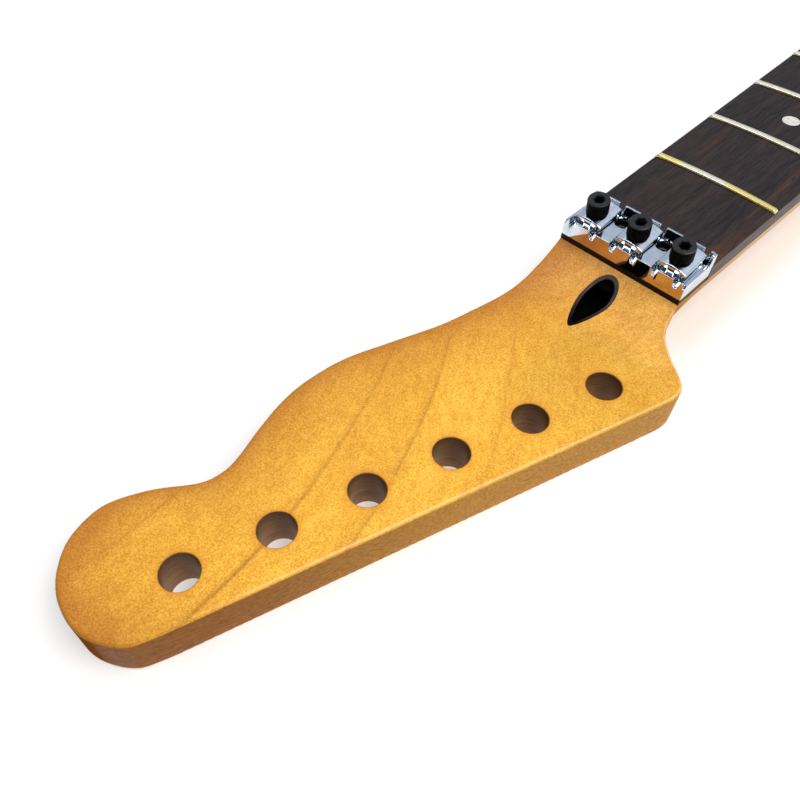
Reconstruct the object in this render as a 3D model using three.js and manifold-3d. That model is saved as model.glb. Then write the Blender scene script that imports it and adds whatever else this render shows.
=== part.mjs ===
// Electric guitar neck: a maple neck and headstock, rosewood fingerboard, clamping nut and truss rod.
// Lengths are in millimetres. X runs across the neck with the tuners' side at +X, and +Z is up.
// Pieces are laid out from the nut: y is zero at the nut's rear face and grows towards the heel,
// and z is zero at the fingerboard's top edge there. The last lines move the origin to the heel's seat.
import * as THREE from 'three';
import { mergeVertices } from 'three/addons/utils/BufferGeometryUtils.js';
import Module from 'manifold-3d';

const wasm = await Module();
wasm.setup();

// Scale and overall sizes
const scaleLength = 648;
const fretCount = 22;
const nutBoardWidth = 43;
const heelWidth = 56;
const heelLength = 76;
const lastFretMargin = 7.84;
const boardOverhang = 10;
const fretY = (n) => scaleLength * (1 - 2 ** (-n / 12));
const boardEnd = fretY(fretCount) + lastFretMargin;
const heelEnd = boardEnd - boardOverhang;
const edgeThickness = 5.5;
const boardRadius = 305;
const neckDepth = 25;
const plateThickness = 14.1;
const shaftDepthAtNut = 20.3;
const shaftDepthAtHeel = 22.8;
const overrun = 2;
const weldDistance = 0.00001;

// Headstock
const headLength = 179.2;
const nutLength = 15.6;
const nutWidth = 42.8;
const edgeRoll = 1.1;
const shoulderReach = 38.6;
const tunerHoleRadius = 5;
const tunerPitch = 24.5;
const tunerCount = 6;
const tunerLineAngle = THREE.MathUtils.degToRad(16.6);
const firstTunerX = 22.8;
const firstTunerY = -51.5;
const edgeToTuners = 12.6;
const cornerRun = 6;
const rampCentreRun = 10;
const rampSideRun = 30;
const backBlendStart = -4;
const backBlendEnd = -44;
const edgeBreak = 0.1;
const heelCorner = 3;
const shaftSquareness = 2.2;

// Frets, markers and their seats
const slotWidth = 0.7;
const slotDepth = 2;
const tangWidth = 0.5;
const tangDepth = 1.7;
const fretWidth = 2.4;
const fretHeight = 1.1;
const fretEndBevel = 0.8;
const fretSeatGap = 0.05;
const dotRadius = 3.1;
const dotDepth = 1.8;
const pairedDotX = 12.5;
const sideDotRadius = 1;
const sideDotDepth = 2.6;
const sideDotDrop = 2.8;
const insertGap = 0.08;
const sideDotPairing = 3.5;
const fretEndShare = 0.15;
const fretProfileShares = [[1, 0], [0.88, 0.5], [0.5, 0.9], [0, 1], [-0.5, 0.9], [-0.88, 0.5], [-1, 0]];
const frets = Array.from({ length: fretCount }, (_, i) => i + 1);

// Clamping nut
const nutSeatDrop = 3.53;
const endWall = 0.95;
const nutFloorHeight = 0.9;
const screwAxisY = -8.3;
const clampTilt = THREE.MathUtils.degToRad(9.2);
const lipLength = 2.3;
const lipHeight = 2.15;
const toothHeight = 5;
const toothLength = 0.95;
const endHeight = 1.45;
const postHeight = 4.8;
const postLength = 1.7;
const postRun = 0.8;
const stringPitch = 7.4;
const stringCount = 6;
const stringSlotWidth = 1.8;
const frontSlotFloor = -0.5;
const rearSlotFloor = 2.3;
const gapDeckWidth = 4.7;
const ribHeight = 3;
const gapDeckFoot = 1;
const gapDeckSlope = 1;
const gapDeckRearGap = 0.5;
const rearSlotRun = 0.5;
const troughLength = 1.3;
const troughFloor = 0.4;
const padWidth = 9.6;
const padFront = 4.6;
const padRear = 6.2;
const padSideHeight = 2.9;
const padCrown = 1;
const padSeatGap = 0.05;
const clampPitch = 2 * stringPitch;
const clampCount = 3;
const screwRadius = 2;
const screwHeadRadius = 3.45;
const screwHeadHeight = 5;
const screwKeySize = 3;
const screwKeyDepth = 2.6;
const screwReach = 2.6;
const shankGap = 0.25;
const mountHoleRadius = 2.25;
const mountHoleY = -5.2;
const mountHeadRadius = 1.95;
const mountHeadHeight = 1.5;
const mountHeadBottom = -1.2;
const mountShankRadius = 1.2;
const mountShankLength = 14;
const mountKeySize = 2;
const mountKeyDepth = 0.9;
const mountGap = 0.2;
const mountHoleXs = [-stringPitch, stringPitch];
const lipBevel = 0.25;
const toothBevel = 0.3;
const padEasing = 0.5;
const headBevel = 0.4;
const crownSteps = 6;

// Truss rod and its entry sleeve
const channelWidth = 6.4;
const channelDepth = 10.4;
const channelHeelWall = 24;
const channelEnd = heelEnd - channelHeelWall;
const rodAxisDrop = 13.2;
const rodRadius = 2.4;
const flatBarHeight = 3;
const flatBarWidth = 6;
const anchorLength = 12;
const rodGap = 0.2;
const rodNutRadius = 3.9;
const rodNutFront = -12;
const rodNutLength = 14;
const rodNutSocketDepth = 7;
const rodNutKeySize = 4;
const rodNutGap = 0.3;
const sleeveTip = -39.9;
const sleeveTop = -17;
const sleeveWidth = 9.7;
const sleeveWall = 1;
const sleeveSlope = THREE.MathUtils.degToRad(27);
const sleeveSkew = THREE.MathUtils.degToRad(4);
const sleeveFloorDrop = 18.6;
const sleeveGap = 0.1;
const sleevePointShare = 2;
const sleeveShoulderShare = 0.34;
const sleeveRoundShare = 0.62;
const sleeveTipShare = 0.3;

// Facet counts and the steps between stations along the neck
const acrossSteps = 6;
const curveSteps = 240;
const holeSides = 24;
const smallSides = 16;
const sleeveSides = 5;
const noseSteps = 9;
const noseLength = 14;
const noseStartShare = 0.002;
const cornerSteps = 3;
const headStep = 4.5;
const shoulderStep = 1.7;
const shaftStep = 80;

// Colours and finishes
const maple = new THREE.MeshStandardMaterial({ color: 0xd9932b, roughness: 0.45, metalness: 0 });
const rosewood = new THREE.MeshStandardMaterial({ color: 0x3a2a26, roughness: 0.7, metalness: 0 });
const fretMetal = new THREE.MeshStandardMaterial({ color: 0xd8c27c, roughness: 0.25, metalness: 1 });
const shell = new THREE.MeshStandardMaterial({ color: 0xe8dcd8, roughness: 0.3, metalness: 0 });
const chrome = new THREE.MeshStandardMaterial({ color: 0xc9d1d6, roughness: 0.08, metalness: 1 });
const blackSteel = new THREE.MeshStandardMaterial({ color: 0x1b1b1c, roughness: 0.45, metalness: 1 });
const blackPlastic = new THREE.MeshStandardMaterial({ color: 0x161617, roughness: 0.5, metalness: 0 });
const rodSteel = new THREE.MeshStandardMaterial({ color: 0x8d8f92, roughness: 0.4, metalness: 1 });

// Solids: three.js geometry turned into a manifold and back
function solid(geometry) {
  const bare = geometry.index ? geometry.clone() : geometry;
  bare.deleteAttribute('normal');
  bare.deleteAttribute('uv');
  const merged = mergeVertices(bare, weldDistance);
  const vertProperties = new Float32Array(merged.attributes.position.array);
  const triVerts = new Uint32Array(merged.index.array);
  return new wasm.Manifold(new wasm.Mesh({ numProp: 3, vertProperties, triVerts }));
}

function geometryOf(body) {
  const mesh = body.getMesh();
  const geometry = new THREE.BufferGeometry();
  geometry.setAttribute('position', new THREE.BufferAttribute(mesh.vertProperties, 3));
  geometry.setIndex(new THREE.BufferAttribute(mesh.triVerts, 1));
  geometry.computeVertexNormals();
  return geometry;
}

function cut(body, tools) {
  return tools.reduce((rest, tool) => rest.subtract(tool), body);
}

function join(bodies) {
  return bodies.reduce((all, body) => all.add(body));
}

const neck = new THREE.Group();

function piece(name, geometry, material, parent = neck) {
  const mesh = new THREE.Mesh(geometry, material);
  mesh.name = name;
  parent.add(mesh);
  return mesh;
}

// A box between two corners
function block(low, high) {
  const size = high.map((v, i) => v - low[i]);
  const middle = high.map((v, i) => (v + low[i]) / 2);
  return new THREE.BoxGeometry(...size).translate(...middle);
}

// A round bar standing on z = 0, or lying along +Y from y = 0
function bar(radius, length, sides) {
  return new THREE.CylinderGeometry(radius, radius, length, sides)
    .rotateX(Math.PI / 2)
    .translate(0, 0, length / 2);
}

function lyingBar(radius, length, sides) {
  return new THREE.CylinderGeometry(radius, radius, length, sides).translate(0, length / 2, 0);
}

// A hexagonal bar with the given distance across its flats
function hexBar(acrossFlats, length) {
  return bar(acrossFlats / Math.sqrt(3), length, 6);
}

// A closed body through rings of points, each ring with the same count, capped at both ends
function loft(rings) {
  const count = rings[0].length;
  const positions = rings.flat().flatMap((p) => [p[0], p[1], p[2]]);
  const index = [];
  for (let r = 0; r + 1 < rings.length; r += 1) {
    for (let k = 0; k < count; k += 1) {
      const a = r * count + k;
      const b = r * count + ((k + 1) % count);
      index.push(a, b, b + count, a, b + count, a + count);
    }
  }
  const ends = [[0, true], [rings.length - 1, false]];
  for (const [r, flipped] of ends) {
    const outline = rings[r].map((p) => flattened(p, rings[r]));
    for (const [i, j, k] of THREE.ShapeUtils.triangulateShape(outline, [])) {
      const tri = [i, j, k].map((n) => r * count + n);
      index.push(...(flipped ? tri.reverse() : tri));
    }
  }
  const geometry = new THREE.BufferGeometry();
  geometry.setAttribute('position', new THREE.Float32BufferAttribute(positions, 3));
  geometry.setIndex(index);
  return geometry;
}

// A ring's point in the plane across the loft: rings lie across X, Y or Z
function flattened(point, ring) {
  const spans = [0, 1, 2].map((axis) => {
    const values = ring.map((p) => p[axis]);
    return Math.max(...values) - Math.min(...values);
  });
  const flat = spans.indexOf(Math.min(...spans));
  const [u, v] = [[1, 2], [2, 0], [0, 1]][flat];
  return new THREE.Vector2(point[u], point[v]);
}

// Plan of the neck: half width of the tapered shaft and of the fingerboard
const bladeHalfWidth = (y) => (nutBoardWidth + ((heelWidth - nutBoardWidth) * y) / heelEnd) / 2;

const smooth = (t) => {
  const c = Math.min(1, Math.max(0, t));
  return c * c * (3 - 2 * c);
};

// Plan of the headstock: points as shares of its length along and of its shoulder's reach across
const tipY = -nutLength - headLength;
const curvedEdgeShares = [
  [0, -0.554], [0.05, -0.535], [0.115, -0.528], [0.165, -0.547], [0.22, -0.591],
  [0.287, -0.658], [0.37, -0.79], [0.45, -0.909], [0.52, -0.943], [0.575, -0.92],
  [0.635, -0.842], [0.69, -0.752], [0.722, -0.729], [0.756, -0.767], [0.81, -0.937],
  [0.86, -1.04], [0.895, -1.051], [0.938, -0.987], [0.972, -0.85], [0.993, -0.65], [1, -0.46],
];
const tipCornerShares = [[1, -0.46], [0.998, -0.345], [0.98, -0.228], [0.957, -0.137]];
const shoulderShares = [
  [0, 0.554], [0.02, 0.587], [0.047, 0.613], [0.065, 0.672], [0.087, 0.799],
  [0.101, 0.905], [0.114, 0.975], [0.128, 1], [0.145, 0.995],
];

const headPoint = ([along, across]) =>
  new THREE.Vector2(across * shoulderReach, -nutLength - along * headLength);

// The straight edge runs beside the tuner holes
const tunerLine = new THREE.Vector2(-Math.sin(tunerLineAngle), -Math.cos(tunerLineAngle));
const firstTuner = new THREE.Vector2(firstTunerX, firstTunerY);
const straightEdgeX = (y) =>
  firstTunerX + edgeToTuners / Math.cos(tunerLineAngle) - (firstTunerY - y) * Math.tan(tunerLineAngle);

const curvedEdge = new THREE.SplineCurve(curvedEdgeShares.map(headPoint)).getPoints(curveSteps);
const shoulder = new THREE.SplineCurve(shoulderShares.map(headPoint)).getPoints(curveSteps);
const cornerPoints = tipCornerShares.map(headPoint);
const straightEnd = cornerPoints[cornerPoints.length - 1].y + cornerRun;
const tipCorner = new THREE.SplineCurve([
  ...cornerPoints,
  new THREE.Vector2(straightEdgeX(straightEnd), straightEnd),
]).getPoints(curveSteps);

// The outline's x at a station, found between the two sampled points around it
function edgeAt(points, y) {
  const n = points.findIndex((p, i) => i > 0 && (points[i - 1].y - y) * (p.y - y) <= 0);
  if (n < 0) {
    return points[points.length - 1].x;
  }
  const [a, b] = [points[n - 1], points[n]];
  return a.y === b.y ? b.x : a.x + ((b.x - a.x) * (y - a.y)) / (b.y - a.y);
}

function leftX(y) {
  return y > -nutLength ? -bladeHalfWidth(y) : edgeAt(curvedEdge, y);
}

function rightX(y) {
  if (y > -nutLength) {
    return bladeHalfWidth(y);
  }
  if (y > shoulder[shoulder.length - 1].y) {
    return edgeAt(shoulder, y);
  }
  return y < tipCorner[tipCorner.length - 1].y ? edgeAt(tipCorner, y) : straightEdgeX(y);
}

// Heights of the neck's top: glue plane, ramp behind the nut and headstock face
const gluePlane = -edgeThickness;
const faceZ = plateThickness - neckDepth;
const backZ = -neckDepth;
const heelStart = heelEnd - heelLength;
const heelBlend = heelLength / 3;

// The ramp's foot curves away from the nut towards both edges
function rampFoot(x) {
  const reach = Math.min(1, Math.abs(x) / (nutWidth / 2));
  return -nutLength - rampCentreRun - (rampSideRun - rampCentreRun) * reach * reach;
}

function topZ(x, y) {
  const foot = rampFoot(x);
  if (y >= -nutLength) {
    return gluePlane;
  }
  const climb = Math.max(0, (y - foot) / (-nutLength - foot));
  return faceZ + (gluePlane - faceZ) * climb * climb;
}

// 0 on the rounded shaft and 1 where the back is square: the headstock and the heel
function squareness(y) {
  const head = smooth((backBlendStart - y) / (backBlendStart - backBlendEnd));
  const heel = smooth((y - heelStart + heelBlend) / heelBlend);
  return Math.max(head, heel);
}

function shaftBackZ(y) {
  const along = Math.max(0, y) / heelStart;
  return -shaftDepthAtNut - (shaftDepthAtHeel - shaftDepthAtNut) * along;
}

// Rolled end faces: how far an edge is drawn in at a distance from the end
const rollIn = (radius, distance) => {
  const inside = Math.max(0, radius - distance);
  return radius - Math.sqrt(radius * radius - inside * inside);
};

function topRow(left, right, roll, y, noseRoll) {
  const row = [];
  const corner = roll * (1 - Math.SQRT1_2);
  row.push([left + corner, y, topZ(left, y) - corner - noseRoll]);
  for (let i = 0; i <= acrossSteps; i += 1) {
    const x = left + roll + ((right - left - 2 * roll) * i) / acrossSteps;
    row.push([x, y, topZ(x, y) - noseRoll]);
  }
  row.push([right - corner, y, topZ(right, y) - corner - noseRoll]);
  return row;
}

// The underside as a square section with rolled corners, from the right edge round to the left
function squareUnder(left, right, roll, rightZ, leftZ, bottom) {
  const corner = roll * (1 - Math.SQRT1_2);
  const row = [[right, rightZ], [right, (rightZ + bottom) / 2], [right, bottom + roll]];
  row.push([right - corner, bottom + corner]);
  for (let i = 0; i <= acrossSteps; i += 1) {
    row.push([right - roll + ((left - right + 2 * roll) * i) / acrossSteps, bottom]);
  }
  row.push([left + corner, bottom + corner]);
  row.push([left, bottom + roll], [left, (leftZ + bottom) / 2], [left, leftZ]);
  return row;
}

// The underside as a C, an ellipse squared a little by its exponent
function roundUnder(left, right, rightZ, leftZ, bottom, count) {
  const power = 2 / shaftSquareness;
  return Array.from({ length: count }, (_, k) => {
    const turn = (Math.PI * k) / (count - 1);
    const edge = rightZ + ((leftZ - rightZ) * k) / (count - 1);
    const across = Math.sign(Math.cos(turn)) * Math.abs(Math.cos(turn)) ** power;
    const down = Math.abs(Math.sin(turn)) ** power;
    return [(left + right + (right - left) * across) / 2, edge - (edge - bottom) * down];
  });
}

function neckRing(y) {
  const share = squareness(y);
  const ends = rollIn(heelCorner, heelEnd - y);
  const [left, right] = [leftX(y) + ends, rightX(y) - ends];
  const widest = (right - left) / 4;
  const roll = Math.min(widest, edgeBreak + (edgeRoll - edgeBreak) * (y < 0 ? share : 0));
  const underRoll = Math.min(widest, edgeRoll);
  const noseRoll = rollIn(edgeRoll, y - tipY);
  const bottom = backZ * share + shaftBackZ(y) * (1 - share) + noseRoll;
  const rightZ = topZ(right, y) - roll - noseRoll;
  const leftZ = topZ(left, y) - roll - noseRoll;
  const square = squareUnder(left, right, underRoll, rightZ, leftZ, bottom);
  const round = roundUnder(left, right, rightZ, leftZ, bottom, square.length);
  const under = square.map(([x, z], k) => [
    x * share + round[k][0] * (1 - share),
    y,
    z * share + round[k][1] * (1 - share),
  ]);
  return [...topRow(left, right, roll, y, noseRoll), ...under];
}

// Stations along the neck, close together where the outline turns quickly
function spaced(from, to, step) {
  const count = Math.max(1, Math.round(Math.abs(to - from) / step));
  return Array.from({ length: count }, (_, i) => from + ((to - from) * i) / count);
}

function neckStations() {
  const nose = Array.from({ length: noseSteps }, (_, i) => {
    const turn = (Math.PI / 2) * ((i + 1) / (noseSteps + 1));
    return tipY + noseLength * (1 - Math.cos(turn));
  });
  const heelCurve = Array.from({ length: cornerSteps + 1 }, (_, i) => {
    const turn = (Math.PI / 2) * (1 - i / cornerSteps);
    return heelEnd - heelCorner * (1 - Math.cos(turn));
  });
  return [
    tipY + noseLength * noseStartShare,
    ...nose,
    ...spaced(tipY + noseLength, shoulderEnd, headStep),
    ...spaced(shoulderEnd, -nutLength, shoulderStep),
    ...spaced(-nutLength, 0, headStep),
    ...spaced(0, heelStart - heelBlend, shaftStep),
    ...spaced(heelStart - heelBlend, heelStart, headStep),
    heelStart,
    heelEnd - heelCorner,
    ...heelCurve.slice(1),
  ];
}

const shoulderEnd = shoulder[shoulder.length - 1].y;
const neckSolid = solid(loft(neckStations().map(neckRing)));

// Tuner holes in a line beside the straight edge
function tunerHoles() {
  return Array.from({ length: tunerCount }, (_, i) => {
    const at = firstTuner.clone().addScaledVector(tunerLine, i * tunerPitch);
    return solid(
      bar(tunerHoleRadius, plateThickness + 2 * overrun, holeSides).translate(at.x, at.y, backZ - overrun)
    );
  });
}

// The sleeve's rim seen from above: round towards the nut and pointed towards the tip
function sleeveOutline(inset) {
  const half = sleeveWidth / 2 - inset;
  const length = sleeveTop - sleeveTip;
  const shape = new THREE.Shape();
  const [top, tip] = [sleeveTop - inset, sleeveTip + inset * sleevePointShare];
  const shoulderY = sleeveTop - length * sleeveShoulderShare;
  shape.moveTo(0, top);
  shape.bezierCurveTo(-half * sleeveRoundShare, top, -half, shoulderY + half, -half, shoulderY);
  shape.bezierCurveTo(-half, shoulderY - half, -half * sleeveTipShare, tip, 0, tip);
  shape.bezierCurveTo(half * sleeveTipShare, tip, half, shoulderY - half, half, shoulderY);
  shape.bezierCurveTo(half, shoulderY + half, half * sleeveRoundShare, top, 0, top);
  return shape;
}


// The sleeve's hollow or outer shape: an upright wall with a floor that slopes down from the tip
function sleeveBody(inset, floorZ) {
  const shape = new THREE.ExtrudeGeometry(sleeveOutline(inset), {
    depth: neckDepth,
    bevelEnabled: false,
    curveSegments: sleeveSides,
  });
  shape.translate(0, -sleeveTop, floorZ).rotateZ(sleeveSkew).translate(0, sleeveTop, 0);
  const ramp = block([-sleeveWidth, -neckDepth, 0], [sleeveWidth, 4 * neckDepth, 2 * neckDepth])
    .rotateX(-sleeveSlope)
    .translate(0, sleeveTip, faceZ - sleeveWall + inset);
  return solid(shape).intersect(solid(ramp));
}

// The bore that the truss rod's adjusting nut turns in
const rodNutBore = (radius, from, to) =>
  solid(lyingBar(radius, to - from, smallSides).translate(0, from, -rodAxisDrop));

function makeNeckBlank() {
  const channel = solid(block(
    [-channelWidth / 2, rodNutFront + rodNutLength, gluePlane - channelDepth],
    [channelWidth / 2, channelEnd, 0]
  ));
  const bore = rodNutBore(rodNutRadius + rodNutGap, sleeveTop - overrun, rodNutFront + rodNutLength + rodGap);
  const screwHoles = mountHoleXs.map((x) =>
    solid(
      bar(mountShankRadius + mountGap, mountShankLength + overrun, smallSides)
        .translate(x, mountHoleY, mountHeadBottom - mountShankLength - mountGap)
    )
  );
  const pocket = sleeveBody(-sleeveGap, -sleeveFloorDrop - sleeveGap);
  const body = cut(neckSolid, [channel, bore, pocket, ...tunerHoles(), ...screwHoles]);
  piece('neck_blank', geometryOf(body), maple);
}

function makeSleeve() {
  const outer = sleeveBody(0, -sleeveFloorDrop);
  const hollow = sleeveBody(sleeveWall, sleeveWall - sleeveFloorDrop);
  const keyWay = rodNutBore(rodNutRadius, sleeveTop - 2 * overrun, sleeveTop + overrun);
  piece('truss_rod_sleeve', geometryOf(cut(outer.intersect(neckSolid), [hollow, keyWay])), blackPlastic);
}

// Fingerboard
const crownRise = boardRadius - Math.sqrt(boardRadius ** 2 - (nutBoardWidth / 2) ** 2);
const crownZ = (x) => crownRise + Math.sqrt(boardRadius ** 2 - x * x) - boardRadius;
const shares = Array.from({ length: acrossSteps + 1 }, (_, i) => (2 * i) / acrossSteps - 1);

function boardRing(y) {
  const half = bladeHalfWidth(Math.min(y, boardEnd)) - rollIn(heelCorner, boardEnd - y);
  const top = shares.map((share) => [share * half, y, crownZ(share * half)]);
  return [...top, [half, y, gluePlane], [-half, y, gluePlane]];
}

const betweenFrets = (n) => (fretY(n) + fretY(n - 1)) / 2;
const singleDots = [3, 5, 7, 9, 15, 17, 19, 21].map((n) => ({ fret: n, x: 0, name: `${n}` }));
const pairedDots = [-1, 1].map((side) => ({
  fret: 12,
  x: side * pairedDotX,
  name: side < 0 ? '12_treble' : '12_bass',
}));
const dots = [...singleDots, ...pairedDots];

// A dot sits square to the crown, so it leans with the board's radius
function dotDisc(dot, radius, depth, above) {
  return bar(radius, depth + above, holeSides)
    .translate(0, 0, boardRadius - depth)
    .rotateY(Math.asin(dot.x / boardRadius))
    .translate(0, betweenFrets(dot.fret), crownRise - boardRadius);
}

// Side dots run in from the bass edge, two of them beside the octave
const sideDots = [3, 5, 7, 9, 15, 17, 19, 21].map((n) => ({ y: betweenFrets(n), name: `${n}` }));
const pairedSideDots = [-1, 1].map((side) => ({
  y: betweenFrets(12) + side * sideDotPairing,
  name: side < 0 ? '12_upper' : '12_lower',
}));
const allSideDots = [...sideDots, ...pairedSideDots];

function sideDotPin(y, radius, length) {
  return lyingBar(radius, length, smallSides)
    .rotateZ(-Math.PI / 2)
    .translate(bladeHalfWidth(y) - sideDotDepth, y, -sideDotDrop);
}

function makeFingerboard() {
  const stations = [0, ...spaced(boardEnd - heelCorner, boardEnd, heelCorner / cornerSteps), boardEnd];
  const board = solid(loft(stations.map(boardRing)));
  const shelf = solid(block([-nutWidth / 2, -nutLength, gluePlane], [nutWidth / 2, overrun, -nutSeatDrop]));
  const slots = frets.map((n) =>
    solid(block(
      [-heelWidth, fretY(n) - slotWidth / 2, crownZ(bladeHalfWidth(fretY(n))) - slotDepth],
      [heelWidth, fretY(n) + slotWidth / 2, overrun]
    ))
  );
  const dotPockets = dots.map((dot) =>
    solid(dotDisc(dot, dotRadius + insertGap, dotDepth + insertGap, overrun))
  );
  const sidePockets = allSideDots.map((dot) =>
    solid(sideDotPin(dot.y, sideDotRadius + insertGap, sideDotDepth + overrun).translate(-insertGap, 0, 0))
  );
  const screwHoles = mountHoleXs.map((x) =>
    solid(bar(mountShankRadius + mountGap, neckDepth, smallSides).translate(x, mountHoleY, -neckDepth))
  );
  const body = cut(board.add(shelf), [...slots, ...dotPockets, ...sidePockets, ...screwHoles]);
  piece('fingerboard', geometryOf(body), rosewood);
}

// A fret: a domed crown over a tang, bent to the board's radius, with its ends filed down
function fretRing(x, y, height, floor) {
  const dome = fretProfileShares.map(([across, up]) => [
    x, y + (across * fretWidth) / 2, crownZ(x) + fretSeatGap + up * height,
  ]);
  const root = crownZ(x) + fretSeatGap;
  const tang = [-1, 1].map((side) => [x, y + (side * tangWidth) / 2, floor]);
  const neckOfTang = [1, -1].map((side) => [x, y + (side * tangWidth) / 2, root]);
  return [...tang, neckOfTang[0], ...dome, neckOfTang[1]];
}

function makeFret(n) {
  const y = fretY(n);
  const half = bladeHalfWidth(y) - insertGap;
  const floor = crownZ(half) - tangDepth;
  const inner = half - fretEndBevel;
  const middle = shares.map((share) => [share * inner, fretHeight]);
  const stations = [[-half, fretHeight * fretEndShare], ...middle, [half, fretHeight * fretEndShare]];
  const rings = stations.map(([x, height]) => fretRing(x, y, height, floor));
  piece(`fret_${String(n).padStart(2, '0')}`, loft(rings), fretMetal);
}

function makeDots() {
  for (const dot of dots) {
    piece(`face_dot_${dot.name}`, dotDisc(dot, dotRadius, dotDepth, 0), shell);
  }
  for (const dot of allSideDots) {
    piece(`side_dot_${dot.name}`, sideDotPin(dot.y, sideDotRadius, sideDotDepth), shell);
  }
}

// Clamping nut's base. Its floor slopes down towards the headstock and carries the pads.
const nutRear = -fretSeatGap;
const nutHalf = nutWidth / 2;
const nutBottom = -nutSeatDrop;
const floorAt = (y) => nutFloorHeight + (y - screwAxisY) * Math.tan(clampTilt);
const stringXs = Array.from({ length: stringCount }, (_, i) => (i - (stringCount - 1) / 2) * stringPitch);
const clampXs = Array.from({ length: clampCount }, (_, i) => (i - (clampCount - 1) / 2) * clampPitch);

// A profile in y and z drawn out along X between two places
function slab(points, fromX, toX) {
  const shape = new THREE.Shape(points.map(([y, z]) => new THREE.Vector2(y, z)));
  const geometry = new THREE.ExtrudeGeometry(shape, { depth: toX - fromX, bevelEnabled: false });
  const turn = new THREE.Matrix4().makeBasis(
    new THREE.Vector3(0, 1, 0), new THREE.Vector3(0, 0, 1), new THREE.Vector3(1, 0, 0)
  );
  return solid(geometry.applyMatrix4(turn).translate(fromX, 0, 0));
}

function nutBody() {
  const front = -nutLength;
  const reach = nutHalf - endWall;
  const floor = slab(
    [[front, nutBottom], [nutRear, nutBottom], [nutRear, floorAt(nutRear)], [front, floorAt(front)]],
    -reach, reach
  );
  const lip = slab(
    [
      [front, nutBottom], [front + lipLength, nutBottom], [front + lipLength, lipHeight],
      [front + lipBevel, lipHeight], [front, lipHeight - lipBevel],
    ],
    -reach, reach
  );
  const postFront = nutRear - postLength;
  const endPoints = [
    [front, nutBottom], [nutRear, nutBottom], [nutRear, postHeight - lipBevel],
    [nutRear - lipBevel, postHeight], [postFront, postHeight], [postFront - postRun, endHeight],
    [front + lipBevel, endHeight], [front, endHeight - lipBevel],
  ];
  const ends = [[-nutHalf, endWall - nutHalf], [nutHalf - endWall, nutHalf]]
    .map(([from, to]) => slab(endPoints, from, to));
  const teeth = slab(
    [
      [nutRear - toothLength, nutBottom], [nutRear, nutBottom], [nutRear, toothHeight - toothBevel],
      [nutRear - toothBevel, toothHeight], [nutRear - toothLength, toothHeight],
    ],
    endWall / 2 - nutHalf, nutHalf - endWall / 2
  );
  const deckTop = front + gapDeckFoot + gapDeckSlope;
  const decks = mountHoleXs.map((x) => slab(
    [
      [front + gapDeckFoot, nutBottom], [nutRear - gapDeckRearGap, nutBottom],
      [nutRear - gapDeckRearGap, ribHeight], [deckTop, lipHeight],
    ],
    x - gapDeckWidth / 2, x + gapDeckWidth / 2
  ));
  return join([floor, lip, ...ends, teeth, ...decks]);
}

const inClamp = (geometry, x) => geometry.rotateX(clampTilt).translate(x, screwAxisY, nutFloorHeight);

function makeNutBase() {
  const troughBack = nutRear - toothLength;
  const troughs = mountHoleXs.map((x) => solid(block(
    [x - gapDeckWidth, troughBack - troughLength, troughFloor],
    [x + gapDeckWidth, troughBack, toothHeight]
  )));
  const rearSlots = stringXs.map((x) => solid(block(
    [x - stringSlotWidth / 2, troughBack - rearSlotRun, rearSlotFloor],
    [x + stringSlotWidth / 2, overrun, toothHeight + overrun]
  )));
  const frontSlots = stringXs.map((x) => frontSlot(x));
  const clampHoles = clampXs.map((x) => solid(inClamp(
    bar(screwRadius + shankGap / 2, screwReach + overrun, smallSides).translate(0, 0, -screwReach - shankGap),
    x
  )));
  const mountHoles = mountHoleXs.flatMap((x) => [
    solid(bar(mountHoleRadius, neckDepth, smallSides).translate(x, mountHoleY, mountHeadBottom - insertGap)),
    solid(bar(mountShankRadius + mountGap, neckDepth, smallSides).translate(x, mountHoleY, -neckDepth / 2)),
  ]);
  const body = cut(nutBody(), [...troughs, ...rearSlots, ...frontSlots, ...clampHoles, ...mountHoles]);
  piece('nut_base', geometryOf(body), chrome);
}

// A front string slot has a round floor and falls away towards the headstock
function frontSlot(x) {
  const radius = stringSlotWidth / 2;
  const from = -nutLength - overrun / 2;
  const length = lipLength + overrun / 2;
  const floor = lyingBar(radius, length, smallSides).translate(x, from, frontSlotFloor + radius);
  const above = block(
    [x - radius, from, frontSlotFloor + radius],
    [x + radius, from + length, lipHeight + overrun]
  );
  return solid(floor).add(solid(above));
}

// A clamp pad: flat underneath, crowned on top, with its front edge eased
function makePad(name, parent) {
  const half = padWidth / 2;
  const shape = new THREE.Shape([new THREE.Vector2(-half, padSeatGap), new THREE.Vector2(half, padSeatGap)]);
  for (let i = 0; i <= crownSteps; i += 1) {
    const across = 1 - (2 * i) / crownSteps;
    shape.lineTo(across * half, padSideHeight + padCrown * (1 - across * across));
  }
  const blank = solid(
    new THREE.ExtrudeGeometry(shape, { depth: padFront + padRear, bevelEnabled: false })
      .rotateX(Math.PI / 2)
      .translate(0, padRear, 0)
  );
  const easing = solid(
    block([-padWidth, -padWidth, 0], [padWidth, padWidth, padWidth])
      .rotateX(Math.PI / 4)
      .translate(0, padEasing - padFront, padSideHeight + padCrown)
  );
  const hole = solid(bar(screwRadius + shankGap, toothHeight * 2, smallSides).translate(0, 0, -overrun));
  piece(name, geometryOf(cut(blank, [easing, hole])), chrome, parent);
}

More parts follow.
